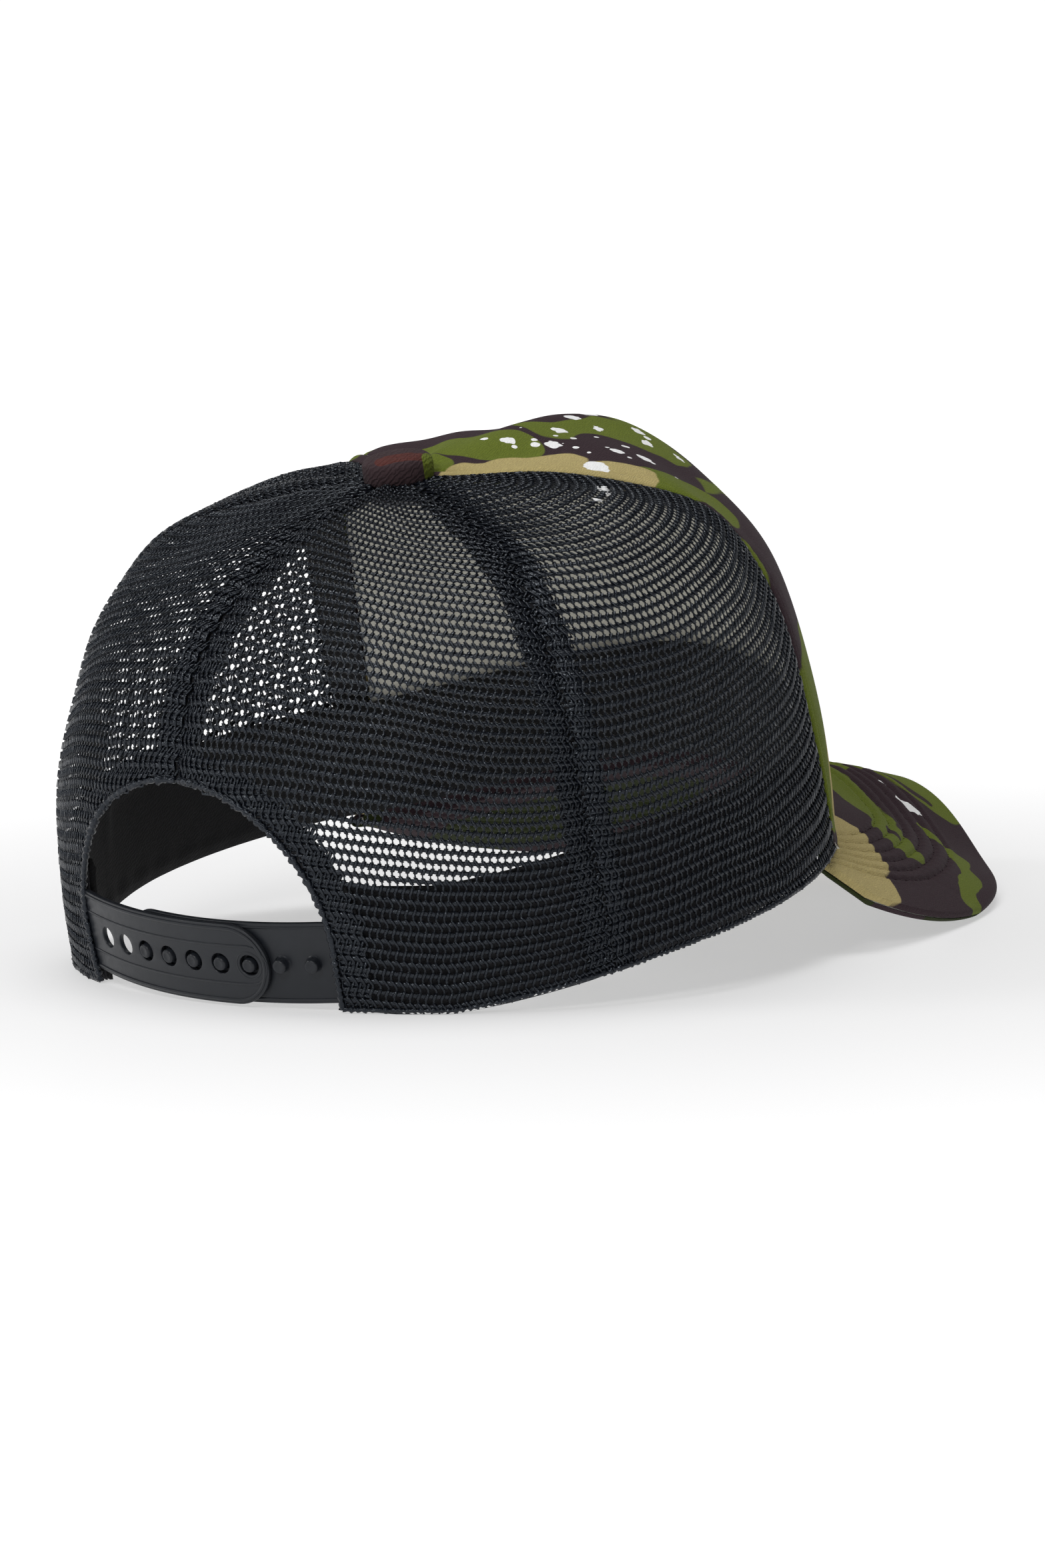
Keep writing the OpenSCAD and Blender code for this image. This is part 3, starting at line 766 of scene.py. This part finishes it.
FRONT_PRINTS = printed(crown, [
    (BARK, (160, 0.74, 214, 0.66, 27), (236, 0.93, 215, 0.90, 9)),
    (OLIVE, (146, 0.83, 202, 0.76, 7.5), (180, 0.88, 150, 0.92, 6), (194, 0.60, 203, 0.48, 11),
     (226, 0.16, 230, 0.10, 10), (170, 0.25, 186, 0.38, 15), (130, 0.45, 140, 0.30, 14)),
    (BARK, (212, 0.63, 219, 0.54, 9), (228, 0.43, 222, 0.28, 11), (178, 0.55, 160, 0.45, 12)),
    (OLIVE, (233, 0.62, 228, 0.50, 9.5)),
    (TAN, (236, 0.93, 235, 0.70, 8), (230, 0.86, 229, 0.80, 9), (228, 0.03, 224, 0.06, 9),
     (204, 0.22, 196, 0.12, 13), (138, 0.42, 148, 0.48, 11), (128, 0.12, 136, 0.16, 10))])
FRONT_ZONES = bars_on(crown, [
    (199, 0.73, 203, 0.50, 22), (213, 0.68, 221, 0.56, 14), (150, 0.30, 172, 0.42, 22)])
PAINT_DROPS = [(231, 0.743, 2.6), (210, 0.71, 1.8), (200, 0.745, 1.5), (198, 0.63, 1.6), (189, 0.55, 1.7),
               (187, 0.50, 1.9), (198, 0.55, 1.3), (197, 0.46, 1.4), (204, 0.485, 1.4), (218, 0.64, 1.5),
               (219, 0.59, 1.9), (206, 0.43, 1.3)]
FRONT_BLOBS = bars_on(crown, [(th, t, th - 1, t, radius) for th, t, radius in PAINT_DROPS])
front_look = camo("camo_front", FRONT_PRINTS, FRONT_ZONES, FRONT_BLOBS)
face_sides = front_grid(230, 170, 0.0), front_grid(230, 170, -FACE_T)
piece("front_face", *slab(*face_sides), front_look, "camo_knit", replaces=["front_panel"])


def foam_grid(off, inner):
    th = np.linspace(LEFT_FRONT + 0.3, RIGHT_FRONT - 0.3, 110)[:, None]
    t = t_top(th) * np.linspace(0.002, 0.995, 80)[None, :]
    soft = 0.25 * np.sin(th * 0.35 + 9 * t) * np.sin(14 * t) + 0.15 * np.sin(th * 0.9 - 21 * t)
    thin = 0.8 * FOAM_T * (bump(edge_gap(th, t), 1.4) + bump(t * 150, 2.0))
    return crown(th, t, off + (soft + thin if inner else 0.0))


foam = piece("foam_lining", *slab(foam_grid(-FACE_T - 0.1, False), foam_grid(-FACE_T - FOAM_T + 0.3, True)),
             foam_look(), "foam", replaces=["front_foam"])


def seam_stitches(seam, side, t0, t1):
    """Topstitching on the front panel, 3 mm in from a seam."""
    t = np.linspace(t0, t1, 46)
    th = np.full(46, float(seam))
    for _ in range(3):
        th = th + side * np.degrees((3.1 - np.abs(seam_distance(th, t, seam))) / np.maximum(
            np.linalg.norm((crown_bare(th, t) - SEAT)[:, :2], axis=1), 3))
    p = crown(th, t, front_swell(th, t) + 0.05)
    return stitches(p, crown_normal(th, t), 2.5, 0.42, 0.30)


topstitches = [seam_stitches(seam, side, 0.03, 0.93) for seam, side in ((RIGHT_FRONT, -1), (LEFT_FRONT, 1))]
piece("front_topstitches", *merged(topstitches), THREAD, "thread", replaces=["front_topstitch"])


# ---- seam tapes, the binding of the back opening and the sweatband ----
def tape(name, node, seam, a, b, t0):
    n, m = 9, 110
    t = np.linspace(t0, 0.965, m)[None, :]
    r = np.maximum(np.linalg.norm((crown_bare(np.full((1, m), float(seam)), t) - SEAT)[..., :2], axis=-1), 7)
    w = np.linspace(a, b, n)[:, None]
    th = seam + np.degrees(w / r)
    edge = np.minimum(w - a, b - w)
    curl = -0.12 * bump(edge, 0.8) + 0.10 * np.sin(t * 160) * bump(edge, 2.5) + 0.12 * np.sin(t * 55 + w)
    return piece(name, *slab(crown(th, t, -MESH_T - 0.2 + curl), crown(th, t, -MESH_T - 0.2 - TAPE_T + curl)),
                 TWILL, "tape", replaces=[node])


for side, seam, node in ((1, RIGHT_FRONT, "right"), (-1, LEFT_FRONT, "left")):
    near, far = sorted((side * 0.2, side * (TAPE_W - 1)))
    tape("front_seam_tape_" + node, "front_tape_" + node, seam, near, far, 0.003)
for seam, node in ((360 - SIDE_SEAM, "right"), (SIDE_SEAM, "left")):
    tape("side_seam_tape_" + node, "side_tape_" + node, seam, -TAPE_W / 2, TAPE_W / 2, 0.003)
tape("rear_seam_tape", "rear_tape", 0, -TAPE_W / 2, TAPE_W / 2, ARCH_T1 + 0.036)


def binding_grid(off):
    k, e = np.linspace(0.004, 0.996, 360)[:, None], np.linspace(0.35, BINDING_W, 14)[None, :]
    th, t = arch_line(k, e)
    return crown(th, t, off + 0.10 * np.sin(k * 700) * bump(e - 1, 2) - 0.25 * bump(e - BINDING_W, 0.8))


piece("arch_binding_tape", *slab(binding_grid(-0.84), binding_grid(-1.2)), TWILL, "tape",
      replaces=["arch_binding"])


def band_off(th):
    front = 1 - smooth(np.abs(th - 180), FRONT_HALF + 1, FRONT_HALF + 9)
    return -BAND_SIDE - (BAND_FRONT - BAND_SIDE) * front


def band_grid(off, puff, rows=26):
    """The band's surface; puff rounds its edges and sinks its stitch lines."""
    start = ARCH_HALF + 1.2
    th = np.linspace(start, 360 - start, 420)
    h = np.linspace(0.4, BAND_H, rows)
    t = t_at(th, h)
    lines = -0.5 * bump(h - 3.2, 0.7) - 0.45 * bump(h - BAND_H + 2.6, 0.7)
    quilt = 0.25 * np.sin(np.radians(th[:, None]) * 61) * bump(h - 4.5, 2.5)
    return crown(th[:, None], t, band_off(th)[:, None] + off - puff * (lines + quilt))


def closed_edge(outer, inner, rounds=0.5):
    """Draws the two faces of a strip together at its long edges."""
    middle = (outer + inner) / 2
    m = outer.shape[1]
    k = np.minimum(np.arange(m), np.arange(m)[::-1]) / 2.0
    w = np.clip(rounds + (1 - rounds) * k, 0, 1)[None, :, None]
    return middle + (outer - middle) * w, middle + (inner - middle) * w


LINING_CLOTH = plain_cloth("band_lining", (0.020, 0.020, 0.023), 0.95, 0.8)
lining_sides = closed_edge(band_grid(0, 0), band_grid(-BACKING_T + 0.05, 0))
piece("sweatband_lining", *slab(*lining_sides), LINING_CLOTH, "sweatband", replaces=["sweatband_backing"])
band_sides = closed_edge(band_grid(-BACKING_T, 0), band_grid(-BACKING_T - BAND_T, -1.0))
band = piece("sweatband_cover", *slab(*band_sides), BLACK_CLOTH, "sweatband", replaces=["sweatband_face"])


# ---- visor: u runs across it from -1 to 1 and v from its root to its edge ----
FOLD_U, FOLD_V = 0.985, 0.975


def visor_root(u):
    p = crown_bare(180 - VISOR_ROOT * u, 0.0) - 2 * crown_normal(180 - VISOR_ROOT * u, 0.0)
    p[..., 2] = np.maximum(p[..., 2], 0) - 2
    return p


def visor_edge(u):
    f = np.radians(90 * u)
    x, y = VISOR_HALF * np.sin(f), -VISOR_MID - VISOR_REACH * np.cos(f)
    side = np.abs(x)
    drop = 0.109 * ((x * x + 64) ** 0.7 - 18.4) + 5 * bump(side - 36, 17) - 1.6 * bump(side - 70, 12)
    tips = np.maximum(0, (np.abs(90 * u) - 60) / 30)
    z = VISOR_NOSE + 0.294 * (y + VISOR_MID + VISOR_REACH) - drop + 4.6 * tips
    z = z + VISOR_TWIST * smooth(u, 0.2, 0.95)
    return np.stack(np.broadcast_arrays(x, y, z), -1)


def visor_bare(u, v):
    u, v = alike(u, v)
    p = visor_root(u) * (1 - v[..., None]) + visor_edge(u) * v[..., None]
    p[..., 2] += 6 * v * (1 - v) * cosd(90 * u) ** 2
    return p


def visor_normal(u, v):
    u, v = alike(np.clip(u, -FOLD_U, FOLD_U), np.clip(v, 0.02, 1))
    along = visor_bare(u, v + 0.01) - visor_bare(u, v - 0.01)
    return unit(np.cross(along, visor_bare(u + 0.01, v) - visor_bare(u - 0.01, v)))


def visor(u, v, off):
    u, v, off = alike(u, v, off)
    return finished(visor_bare(u, v) + off[..., None] * visor_normal(u, v))


def visor_length(u):
    return np.linalg.norm(visor_edge(u) - visor_root(u), axis=-1)


def row_reach(k):
    """How far a stitch row lies from the visor's edge, in mm."""
    return 17.5 + 5.2 * k


def visor_quilt(u, v):
    """Grooves along the stitch rows, soft ridges between them and small puckers."""
    inward = (1 - v) * visor_length(u)
    first, last = row_reach(0), row_reach(STITCH_ROWS - 1)
    d = 0.35 * smooth(inward, first - 4, first) * (1 - smooth(inward, last, last + 5))
    for k in range(STITCH_ROWS):
        away = inward - row_reach(k)
        d = d - 0.72 * bump(away, 1.0) + 0.07 * np.sin(u * 190 + k) * bump(away, 2.0)
    return d + 0.18 * smooth(v, 0.05, 0.15)


def cover_grid(side, outer):
    """One face of a visor cover; both covers come together along the edge and the short sides."""
    turn = np.sin(np.linspace(0, np.pi / 2, 9))
    ends = FOLD_U + 0.019 * turn[1:]
    u = np.concatenate([-ends[::-1], np.linspace(-FOLD_U, FOLD_U, 260), ends])[:, None]
    v = np.concatenate([np.linspace(0, FOLD_V, 120), FOLD_V + 0.029 * turn[1:]])[None, :]
    fold_v = np.clip(1 - np.maximum(0, (v - FOLD_V) / 0.0292) ** 2, 0.002, 1)
    fold_u = np.clip(1 - np.maximum(0, (np.abs(u) - FOLD_U) / 0.0191) ** 2, 0.002, 1)
    fold = np.sqrt(np.minimum(fold_v, fold_u))
    if outer:
        quilt = visor_quilt(u, v) * (1 if side > 0 else 0.6)
        return visor(u, v, side * (BOARD_HALF + COVER_T + quilt) * fold)
    return visor(np.clip(u, -0.999, 0.999), np.minimum(v, 0.998), side * BOARD_HALF * fold * 0.98)


VISOR_PRINTS = printed(on_visor, [
    (BARK, (-0.9, 0.6, 0.9, 0.6, 90)),
    (OLIVE, (-0.12, 0.96, 0.10, 0.80, 11), (-0.12, 0.44, -0.36, 0.42, 7.5),
     (-0.36, 0.42, -0.56, 0.48, 5.5), (-0.30, 0.70, -0.42, 0.81, 2.2), (-0.42, 0.81, -0.68, 0.95, 3.6),
     (0.30, 0.30, 0.62, 0.55, 11), (0.72, 0.95, 0.85, 0.85, 8), (-0.02, 0.60, 0.0, 0.72, 6)),
    (BARK, (-0.17, 0.72, -0.04, 0.66, 2.6), (-0.15, 0.88, -0.02, 0.78, 1.6),
     (-0.46, 0.44, -0.49, 0.45, 1.5)),
    (TAN, (-0.66, 0.08, -0.74, 0.17, 10), (-0.92, 0.25, -0.89, 0.44, 9.5), (-1.0, 0.05, -1.0, 0.50, 10),
     (-0.99, 0.50, -0.98, 0.97, 6.5), (0.40, 0.78, 0.60, 0.72, 9), (0.88, 0.25, 0.93, 0.45, 9))])
VISOR_BLOBS = bars_on(on_visor, [
    (-0.19, 0.70, -0.22, 0.74, 1.7), (-0.125, 0.695, -0.125, 0.705, 1.0), (0.03, 0.20, 0.03, 0.22, 1.6),
    (0.45, 0.45, 0.48, 0.47, 1.8)])
VISOR_ZONES = bars_on(on_visor, [(0.30, 0.55, 0.15, 0.40, 16)])
visor_look = camo("camo_visor", VISOR_PRINTS, VISOR_ZONES, VISOR_BLOBS)
UNDER_PRINTS = printed(on_visor, [
    (BARK, (-0.9, 0.6, 0.9, 0.6, 90)),
    (MOSS, (-0.55, 0.35, -0.10, 0.50, 13), (0.35, 0.35, 0.72, 0.60, 16), (-0.80, 0.85, -0.60, 0.95, 8)),
    (BARK, (-0.30, 0.40, -0.20, 0.44, 4)),
    (MOSS, (-1.0, 0.0, -1.0, 0.7, 7), (1.0, 0.0, 1.0, 0.5, 7)),
    (TAN, (0.10, 0.80, 0.28, 0.86, 11))])
piece("visor_top", *slab(cover_grid(1, True), cover_grid(1, False)), visor_look, "camo_knit",
      replaces=["visor_top_cover"])
under_look = camo("camo_under_visor", UNDER_PRINTS)


def root_flange(thickness):
    """The visor's sewn-in edge: it wraps the board's end and rises in front of the sweatband."""
    u = np.linspace(-0.97, 0.97, 120)
    th = 180 - VISOR_ROOT * u
    up = t_at(th, [1.0, 5.0, 9.0])
    under, over = -BOARD_HALF - COVER_T / 2, BOARD_HALF
    wrap = [visor(u, v, off)[:, None] for v, off in ((0.03, under), (-0.012, under), (-0.012, over))]
    sunk = np.broadcast_to(band_off(th)[:, None] + 0.30, up.shape)
    rise = crown(th[:, None], up, sunk)
    behind = unit(np.stack([sind(th), cosd(th), 0 * th], -1))[:, None]
    line = np.concatenate([*wrap, rise], 1)
    return line, line - (behind + (0, 0, 1)) * thickness


piece("visor_under", *merged([slab(cover_grid(-1, True), cover_grid(-1, False)), slab(*root_flange(0.25))]),
      under_look, "camo_knit", replaces=["visor_under_cover"])


def visor_thread(k):
    """Stitches along one row, from seam to seam of the crown."""
    u = np.linspace(-0.97, 0.97, 1200)
    v = 1 - row_reach(k) / visor_length(u)
    u, v = u[v > 0.05], v[v > 0.05]
    line = visor(u, v, 0)
    run = run_along(line)
    spots = np.arange(1.5, run[-1] - 1.5, 3.1)
    u, v = np.interp(spots, run, u), np.interp(spots, run, v)
    top = visor(u, v, BOARD_HALF + COVER_T + visor_quilt(u, v) + 0.05)
    return stitches(top, visor_normal(u, v), 2.6, 0.36, 0.26)


piece("visor_stitches", *merged([visor_thread(k) for k in range(STITCH_ROWS)]), visor_look, "thread",
      replaces=["visor_stitching"])


# ---- button ----
def seated(verts):
    """Points about the button's own seat, put in place on the leaning crown."""
    x, y, z = np.asarray(verts).T
    return np.stack([x, *leaned(y, z, LEAN)], -1) + SEAT + (0, CENTRE_Y, 0)


def button_mesh(radius=8.3, top=6.3, foot=-0.9, corner=3.4):
    """A cloth-covered dome: nearly flat on top, round at the shoulder, tucked in below."""
    a = np.linspace(0, np.pi / 2, 14)
    flat, low = radius - corner, top - 0.9 * corner
    shoulder = [(flat + corner * math.cos(x), low + 0.75 * corner * math.sin(x)) for x in a]
    crown_of_it = [(r, top - 0.3 + 0.28 * (1 - (r / flat) ** 2)) for r in (4.2, 3.0, 1.8, 0.8)]
    profile = [(0, foot), (radius * 0.5, foot), (radius - 0.9, foot), (radius - 0.15, foot + 0.7)] + shoulder
    profile += crown_of_it + [(0, top)]
    verts, faces = lathe(profile, 96)
    x, y, z = verts.T
    turn, r = np.arctan2(y, x), np.hypot(x, y)
    folds = 0.10 * np.sin(turn * 17 + 2 * np.sin(3 * turn)) * np.clip((1.6 - z) / 2.0, 0, 1) * (r > 5)
    grow = 1 + (folds + 0.12 * np.sin(2 * turn + 0.6)) / np.maximum(r, 1)
    return seated(np.stack([x * grow, y * grow, z + 0.10 * np.sin(turn * 3) * r / radius], -1)), faces


def button_point(x, y, z):
    return seated([[x, y, z]])[0]


# The whole button is first laid over with a bark paler than the crown's.
BUTTON_PRINTS = [(PALE_BARK, bar(button_point, (0, 0, 0), (0, 0, 3), 30)),
                 (RUST, bar(button_point, (-1.3, 6.1, 7.4), (-7.2, -0.9, 7.4), 2.9)),
                 (OLIVE, bar(button_point, (-9.2, -3.9, -1), (-9.2, -3.9, 3.5), 4.2))]
button_look = camo("camo_button", BUTTON_PRINTS, swirl=2.0, rib=1.0, depth=0.12)
piece("button_cap", *button_mesh(), button_look, "camo_knit", replaces=["button_cover"])


# ---- snap straps: s runs along a strap, z up it and d out of it ----
STRAP_SAG = 0.028


def bend(szd, root):
    """Flat strap points bent round the wearer's head; the root end is drawn out under the net."""
    s, z, d = np.asarray(szd, float).T
    z = z - STRAP_SAG * (FIRST_HOLE - s)
    r = STRAP_R + d + (0.9 * smooth(np.abs(s), 36, 42) if root < 0 else 0.25 * smooth(np.abs(s), 36, 42))
    x, y = r * np.sin(s / STRAP_R), r * np.cos(s / STRAP_R) - STRAP_R
    return np.stack([x, *leaned(y, z, STRAP_LEAN)], -1) + STRAP_AT + (0, CENTRE_Y, 0)


def round_end(root, tip, half):
    """The outline of a strap with one round end."""
    side = 1 if tip > root else -1
    mid = tip - side * half
    arc = [(mid + side * half * math.sin(a), -half * math.cos(a)) for a in np.linspace(0, math.pi, 25)]
    return [(root, -half)] + arc + [(root, half)]


def circle(s, r, n=28):
    return [(s + r * math.cos(a), r * math.sin(a)) for a in turns(n)]


def plate(loops, low, high, edge):
    """A flat plate with holes and rounded edges, cut every 2 mm along its length so that it can bend."""
    curve = bpy.data.curves.new("plate", "CURVE")
    curve.dimensions, curve.fill_mode = "2D", "BOTH"
    curve.extrude, curve.bevel_depth, curve.offset = (high - low) / 2 - edge, edge, -edge
    curve.bevel_resolution = 2
    for loop in loops:
        spline = curve.splines.new("POLY")
        spline.points.add(len(loop) - 1)
        for point, (s, z) in zip(spline.points, loop):
            point.co = (s, z, 0, 1)
        spline.use_cyclic_u = True
    obj = new_object("plate", curve)
    mesh = bpy.data.meshes.new_from_object(obj.evaluated_get(bpy.context.evaluated_depsgraph_get()))
    bpy.data.objects.remove(obj)
    bm = bmesh.new()
    bm.from_mesh(mesh)
    bmesh.ops.remove_doubles(bm, verts=bm.verts, dist=0.002)
    ends = [p[0] for p in loops[0]]
    for s in np.arange(min(ends) + 1, max(ends), 2.0):
        everything = bm.verts[:] + bm.edges[:] + bm.faces[:]
        bmesh.ops.bisect_plane(bm, geom=everything, plane_co=(s, 0, 0), plane_no=(1, 0, 0), dist=1e-4)
    bmesh.ops.triangulate(bm, faces=bm.faces)
    verts = np.array([v.co for v in bm.verts]) + (0, 0, (low + high) / 2)
    faces = np.array([[v.index for v in f.verts] for f in bm.faces])
    bm.free()
    return verts, [faces]


def bead(path, d, radius, closed=False):
    """A raised line on a strap's outer face along flat points."""
    path = np.array(path, float)
    ahead, behind = np.roll(path, -1, 0), np.roll(path, 1, 0)
    if not closed:
        ahead[-1], behind[0] = path[-1], path[0]
    along = unit(ahead - behind)
    across = np.stack([-along[:, 1], along[:, 0]], -1)
    a = turns(8)
    flat = path[:, None] + radius * np.cos(a)[None, :, None] * across[:, None]
    up = np.broadcast_to(d + radius * np.sin(a), flat.shape[:2])
    rings = np.concatenate([flat, up[..., None]], -1)
    if closed:
        rings = np.concatenate([rings, rings[:1]])
    return tube(rings)


def fine(path, step=1.5):
    """The same line with points every step mm."""
    path = np.array(path, float)
    run = run_along(path)
    spots = np.linspace(0, run[-1], int(run[-1] / step) + 2)
    return np.stack([np.interp(spots, run, path[:, 0]), np.interp(spots, run, path[:, 1])], -1)


def peg(s, low):
    """A peg with a rounded top and a fillet at its foot, standing out of the strap at s."""
    h, r = PEG_H + low, PEG_R
    profile = [(0, low - 0.5), (r + 0.3, low - 0.5), (r + 0.35, low), (r + 0.1, low + 0.25), (r, low + 0.6),
               (r, h - 0.5), (r - 0.12, h - 0.18), (r - 0.4, h), (r - 0.75, h - 0.02), (r - 0.9, h - 0.1),
               (0, h - 0.1)]
    verts, faces = lathe(profile, 26)
    return np.stack([s + verts[:, 0], verts[:, 1], verts[:, 2]], -1), faces


def strap(name, parts, look, root, nodes):
    """A strap that bends between its sewn-in end and the part that swings."""
    verts, faces = merged(parts)
    obj = piece(name, bend(verts, root), faces, look, "snap_plastic", body=None, replaces=nodes, sharp=38)
    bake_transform(obj)
    return obj


HALF_H, PLATE_EDGE, INNER_TOP = STRAP_H / 2, 0.22, -1.1
OUT_ROOT, OUT_TIP = 42.0, FIRST_HOLE - 6 * HOLE_PITCH - 5
holes = [FIRST_HOLE - k * HOLE_PITCH for k in range(7)]
outline = [round_end(OUT_ROOT, OUT_TIP, HALF_H)] + [circle(s, HOLE_R) for s in holes]
outer_plate = plate(outline, -STRAP_T / 2, STRAP_T / 2, PLATE_EDGE)
rim_line = fine(round_end(OUT_ROOT - 0.5, OUT_TIP + 1.0, HALF_H - 1.0))
band_line = fine(round_end(OUT_ROOT - 0.5, holes[-1] - 4.6, 4.6))
last_ring = bead(circle(holes[-1], HOLE_R + 0.75, 40), 0.50, 0.22, closed=True)
holed_parts = [outer_plate, bead(rim_line, 0.50, 0.48), bead(band_line, 0.50, 0.34), last_ring]
strap("snap_strap_holed", holed_parts, PLASTIC_OUT, 1, ["strap_holed", "strap_holed_tab"])

IN_ROOT, IN_TIP = -44.0, FIRST_HOLE - 2 * HOLE_PITCH + 7
inner_plate = plate([round_end(IN_ROOT, IN_TIP, HALF_H)], INNER_TOP - STRAP_T, INNER_TOP, PLATE_EDGE)
inner_rim = fine(round_end(IN_ROOT + 0.5, IN_TIP - 1.0, HALF_H - 1.0))
pegs = [peg(FIRST_HOLE - k * HOLE_PITCH, INNER_TOP) for k in range(2, 9)]
strap("snap_strap_pegged", [inner_plate, bead(inner_rim, -1.22, 0.36)] + pegs, PLASTIC_IN, -1,
      ["strap_pegged", "strap_pegged_tab"])


# ---- CAD nodes that stay: hidden stiffener and the button's metal ----
def relook(node, look):
    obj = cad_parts[node]
    obj.data.materials.clear()
    obj.data.materials.append(look)


board = Nodes("visor_board", (0.62, 0.61, 0.56), 0.55)
board.dye(0.08, 0.2, 3.0)
board.bump(board.noise(1.5, 3.0), 0.02, 0.5)
relook("visor_board", board.material)
relook("button_shell", metal("button_shell_metal", (0.55, 0.54, 0.52)))
relook("button_plate", metal("button_plate_metal", (0.42, 0.42, 0.43)))


# ---- floor, light and camera ----
def stage_table():
    """A round white table that reaches the horizon, brighter far away so that it stays white."""
    bpy.ops.mesh.primitive_circle_add(vertices=128, radius=60, fill_type="NGON", location=(0, 0, 0))
    floor = bpy.context.object
    floor.name = "floor"
    look = Nodes("floor", (0.42, 0.42, 0.423), 0.6, Specular_IOR_Level=0.2)
    look.dye(0.012, 0.01, 2.0)
    out_from_middle = look.vector("LENGTH", look.mm, out="Value")
    # The table glows everywhere as painted light, more with distance from the middle: near the cap the glow
    # lightens the shadows on the table and lights the cap from below; far away it keeps the table white.
    near = look.ramp(out_from_middle, 100, 380, 0.47, 0.76)
    glow = look.math("ADD", near, look.ramp(out_from_middle, 420, 3000, 0, 0.5))
    look.shader.inputs["Emission Color"].default_value = (1, 1, 1, 1)
    look.tree.links.new(glow, look.shader.inputs["Emission Strength"])
    floor.data.materials.append(look.material)


def studio_world():
    """White at the horizon, where it meets the table, and dim above."""
    world = bpy.data.worlds.new("studio")
    world.use_nodes = True
    tree = world.node_tree
    direction = tree.nodes.new("ShaderNodeTexCoord").outputs["Generated"]
    height = tree.nodes.new("ShaderNodeSeparateXYZ")
    tree.links.new(direction, height.inputs[0])
    fall = tree.nodes.new("ShaderNodeMapRange")
    for key, value in {1: 0.08, 2: 0.20, 3: 1.05, 4: WORLD_DIM}.items():
        fall.inputs[key].default_value = value
    tree.links.new(height.outputs[2], fall.inputs[0])
    tree.links.new(fall.outputs[0], tree.nodes["Background"].inputs["Strength"])
    tree.nodes["Background"].inputs["Color"].default_value = (1, 1, 1, 1)
    bpy.context.scene.world = world


def soft_light(name, place, aim, size, power):
    """A large soft lamp at a place that points at another."""
    lamp = bpy.data.lights.new(name, "AREA")
    lamp.shape, lamp.size, lamp.energy = "DISK", size, power
    obj = new_object(name, lamp)
    obj.location = place
    obj.rotation_euler = (Vector(aim) - Vector(place)).to_track_quat("-Z", "Y").to_euler()


AZIMUTH, ELEVATION, ROLL = math.radians(220.81), math.radians(7.23), math.radians(-1.03)
DISTANCE, LENS, ASIDE, RAISED = 1485.9, 143.397, 13.72, 40.15
AIM_Z, SENSOR, WORLD_DIM = 60, 36.0, 0.12


def aim_camera():
    """A camera behind the wearer's right shoulder, a little above the floor."""
    flat, rise = math.cos(ELEVATION), math.sin(ELEVATION)
    away = Vector((math.sin(AZIMUTH) * flat, -math.cos(AZIMUTH) * flat, rise))
    right = Vector((0, 0, 1)).cross(away).normalized()
    up = away.cross(right)
    right, up = (right * math.cos(ROLL) + up * math.sin(ROLL), up * math.cos(ROLL) - right * math.sin(ROLL))
    centre = Vector((0, CENTRE_Y, AIM_Z)) + right * ASIDE + up * (RAISED - AIM_Z)
    data = bpy.data.cameras.new("camera")
    data.lens, data.sensor_width = LENS, SENSOR
    data.clip_start, data.clip_end = 0.05, 60
    cam = new_object("camera", data)
    cam.matrix_world = Matrix((right, up, away)).transposed().to_4x4()
    cam.location = (centre + away * DISTANCE) * MM
    bpy.context.scene.camera = cam
    return away, right


def studio():
    away, right = aim_camera()
    stage_table()
    studio_world()
    bpy.context.scene.view_settings.view_transform = "Standard"
    middle = (0, 0, 0.06)
    over = Vector((0, 0, 1))
    soft_light("top_light", tuple(over * 1.7 - away * 0.2), middle, 1.1, 15)
    soft_light("camera_side_light", tuple(away * 1.3 - right * 0.5 + over * 0.75), middle, 0.4, 8)
    soft_light("left_light", tuple(-right * 1.4 + away * 0.2 + over * 0.8), middle, 0.5, 5)


studio()
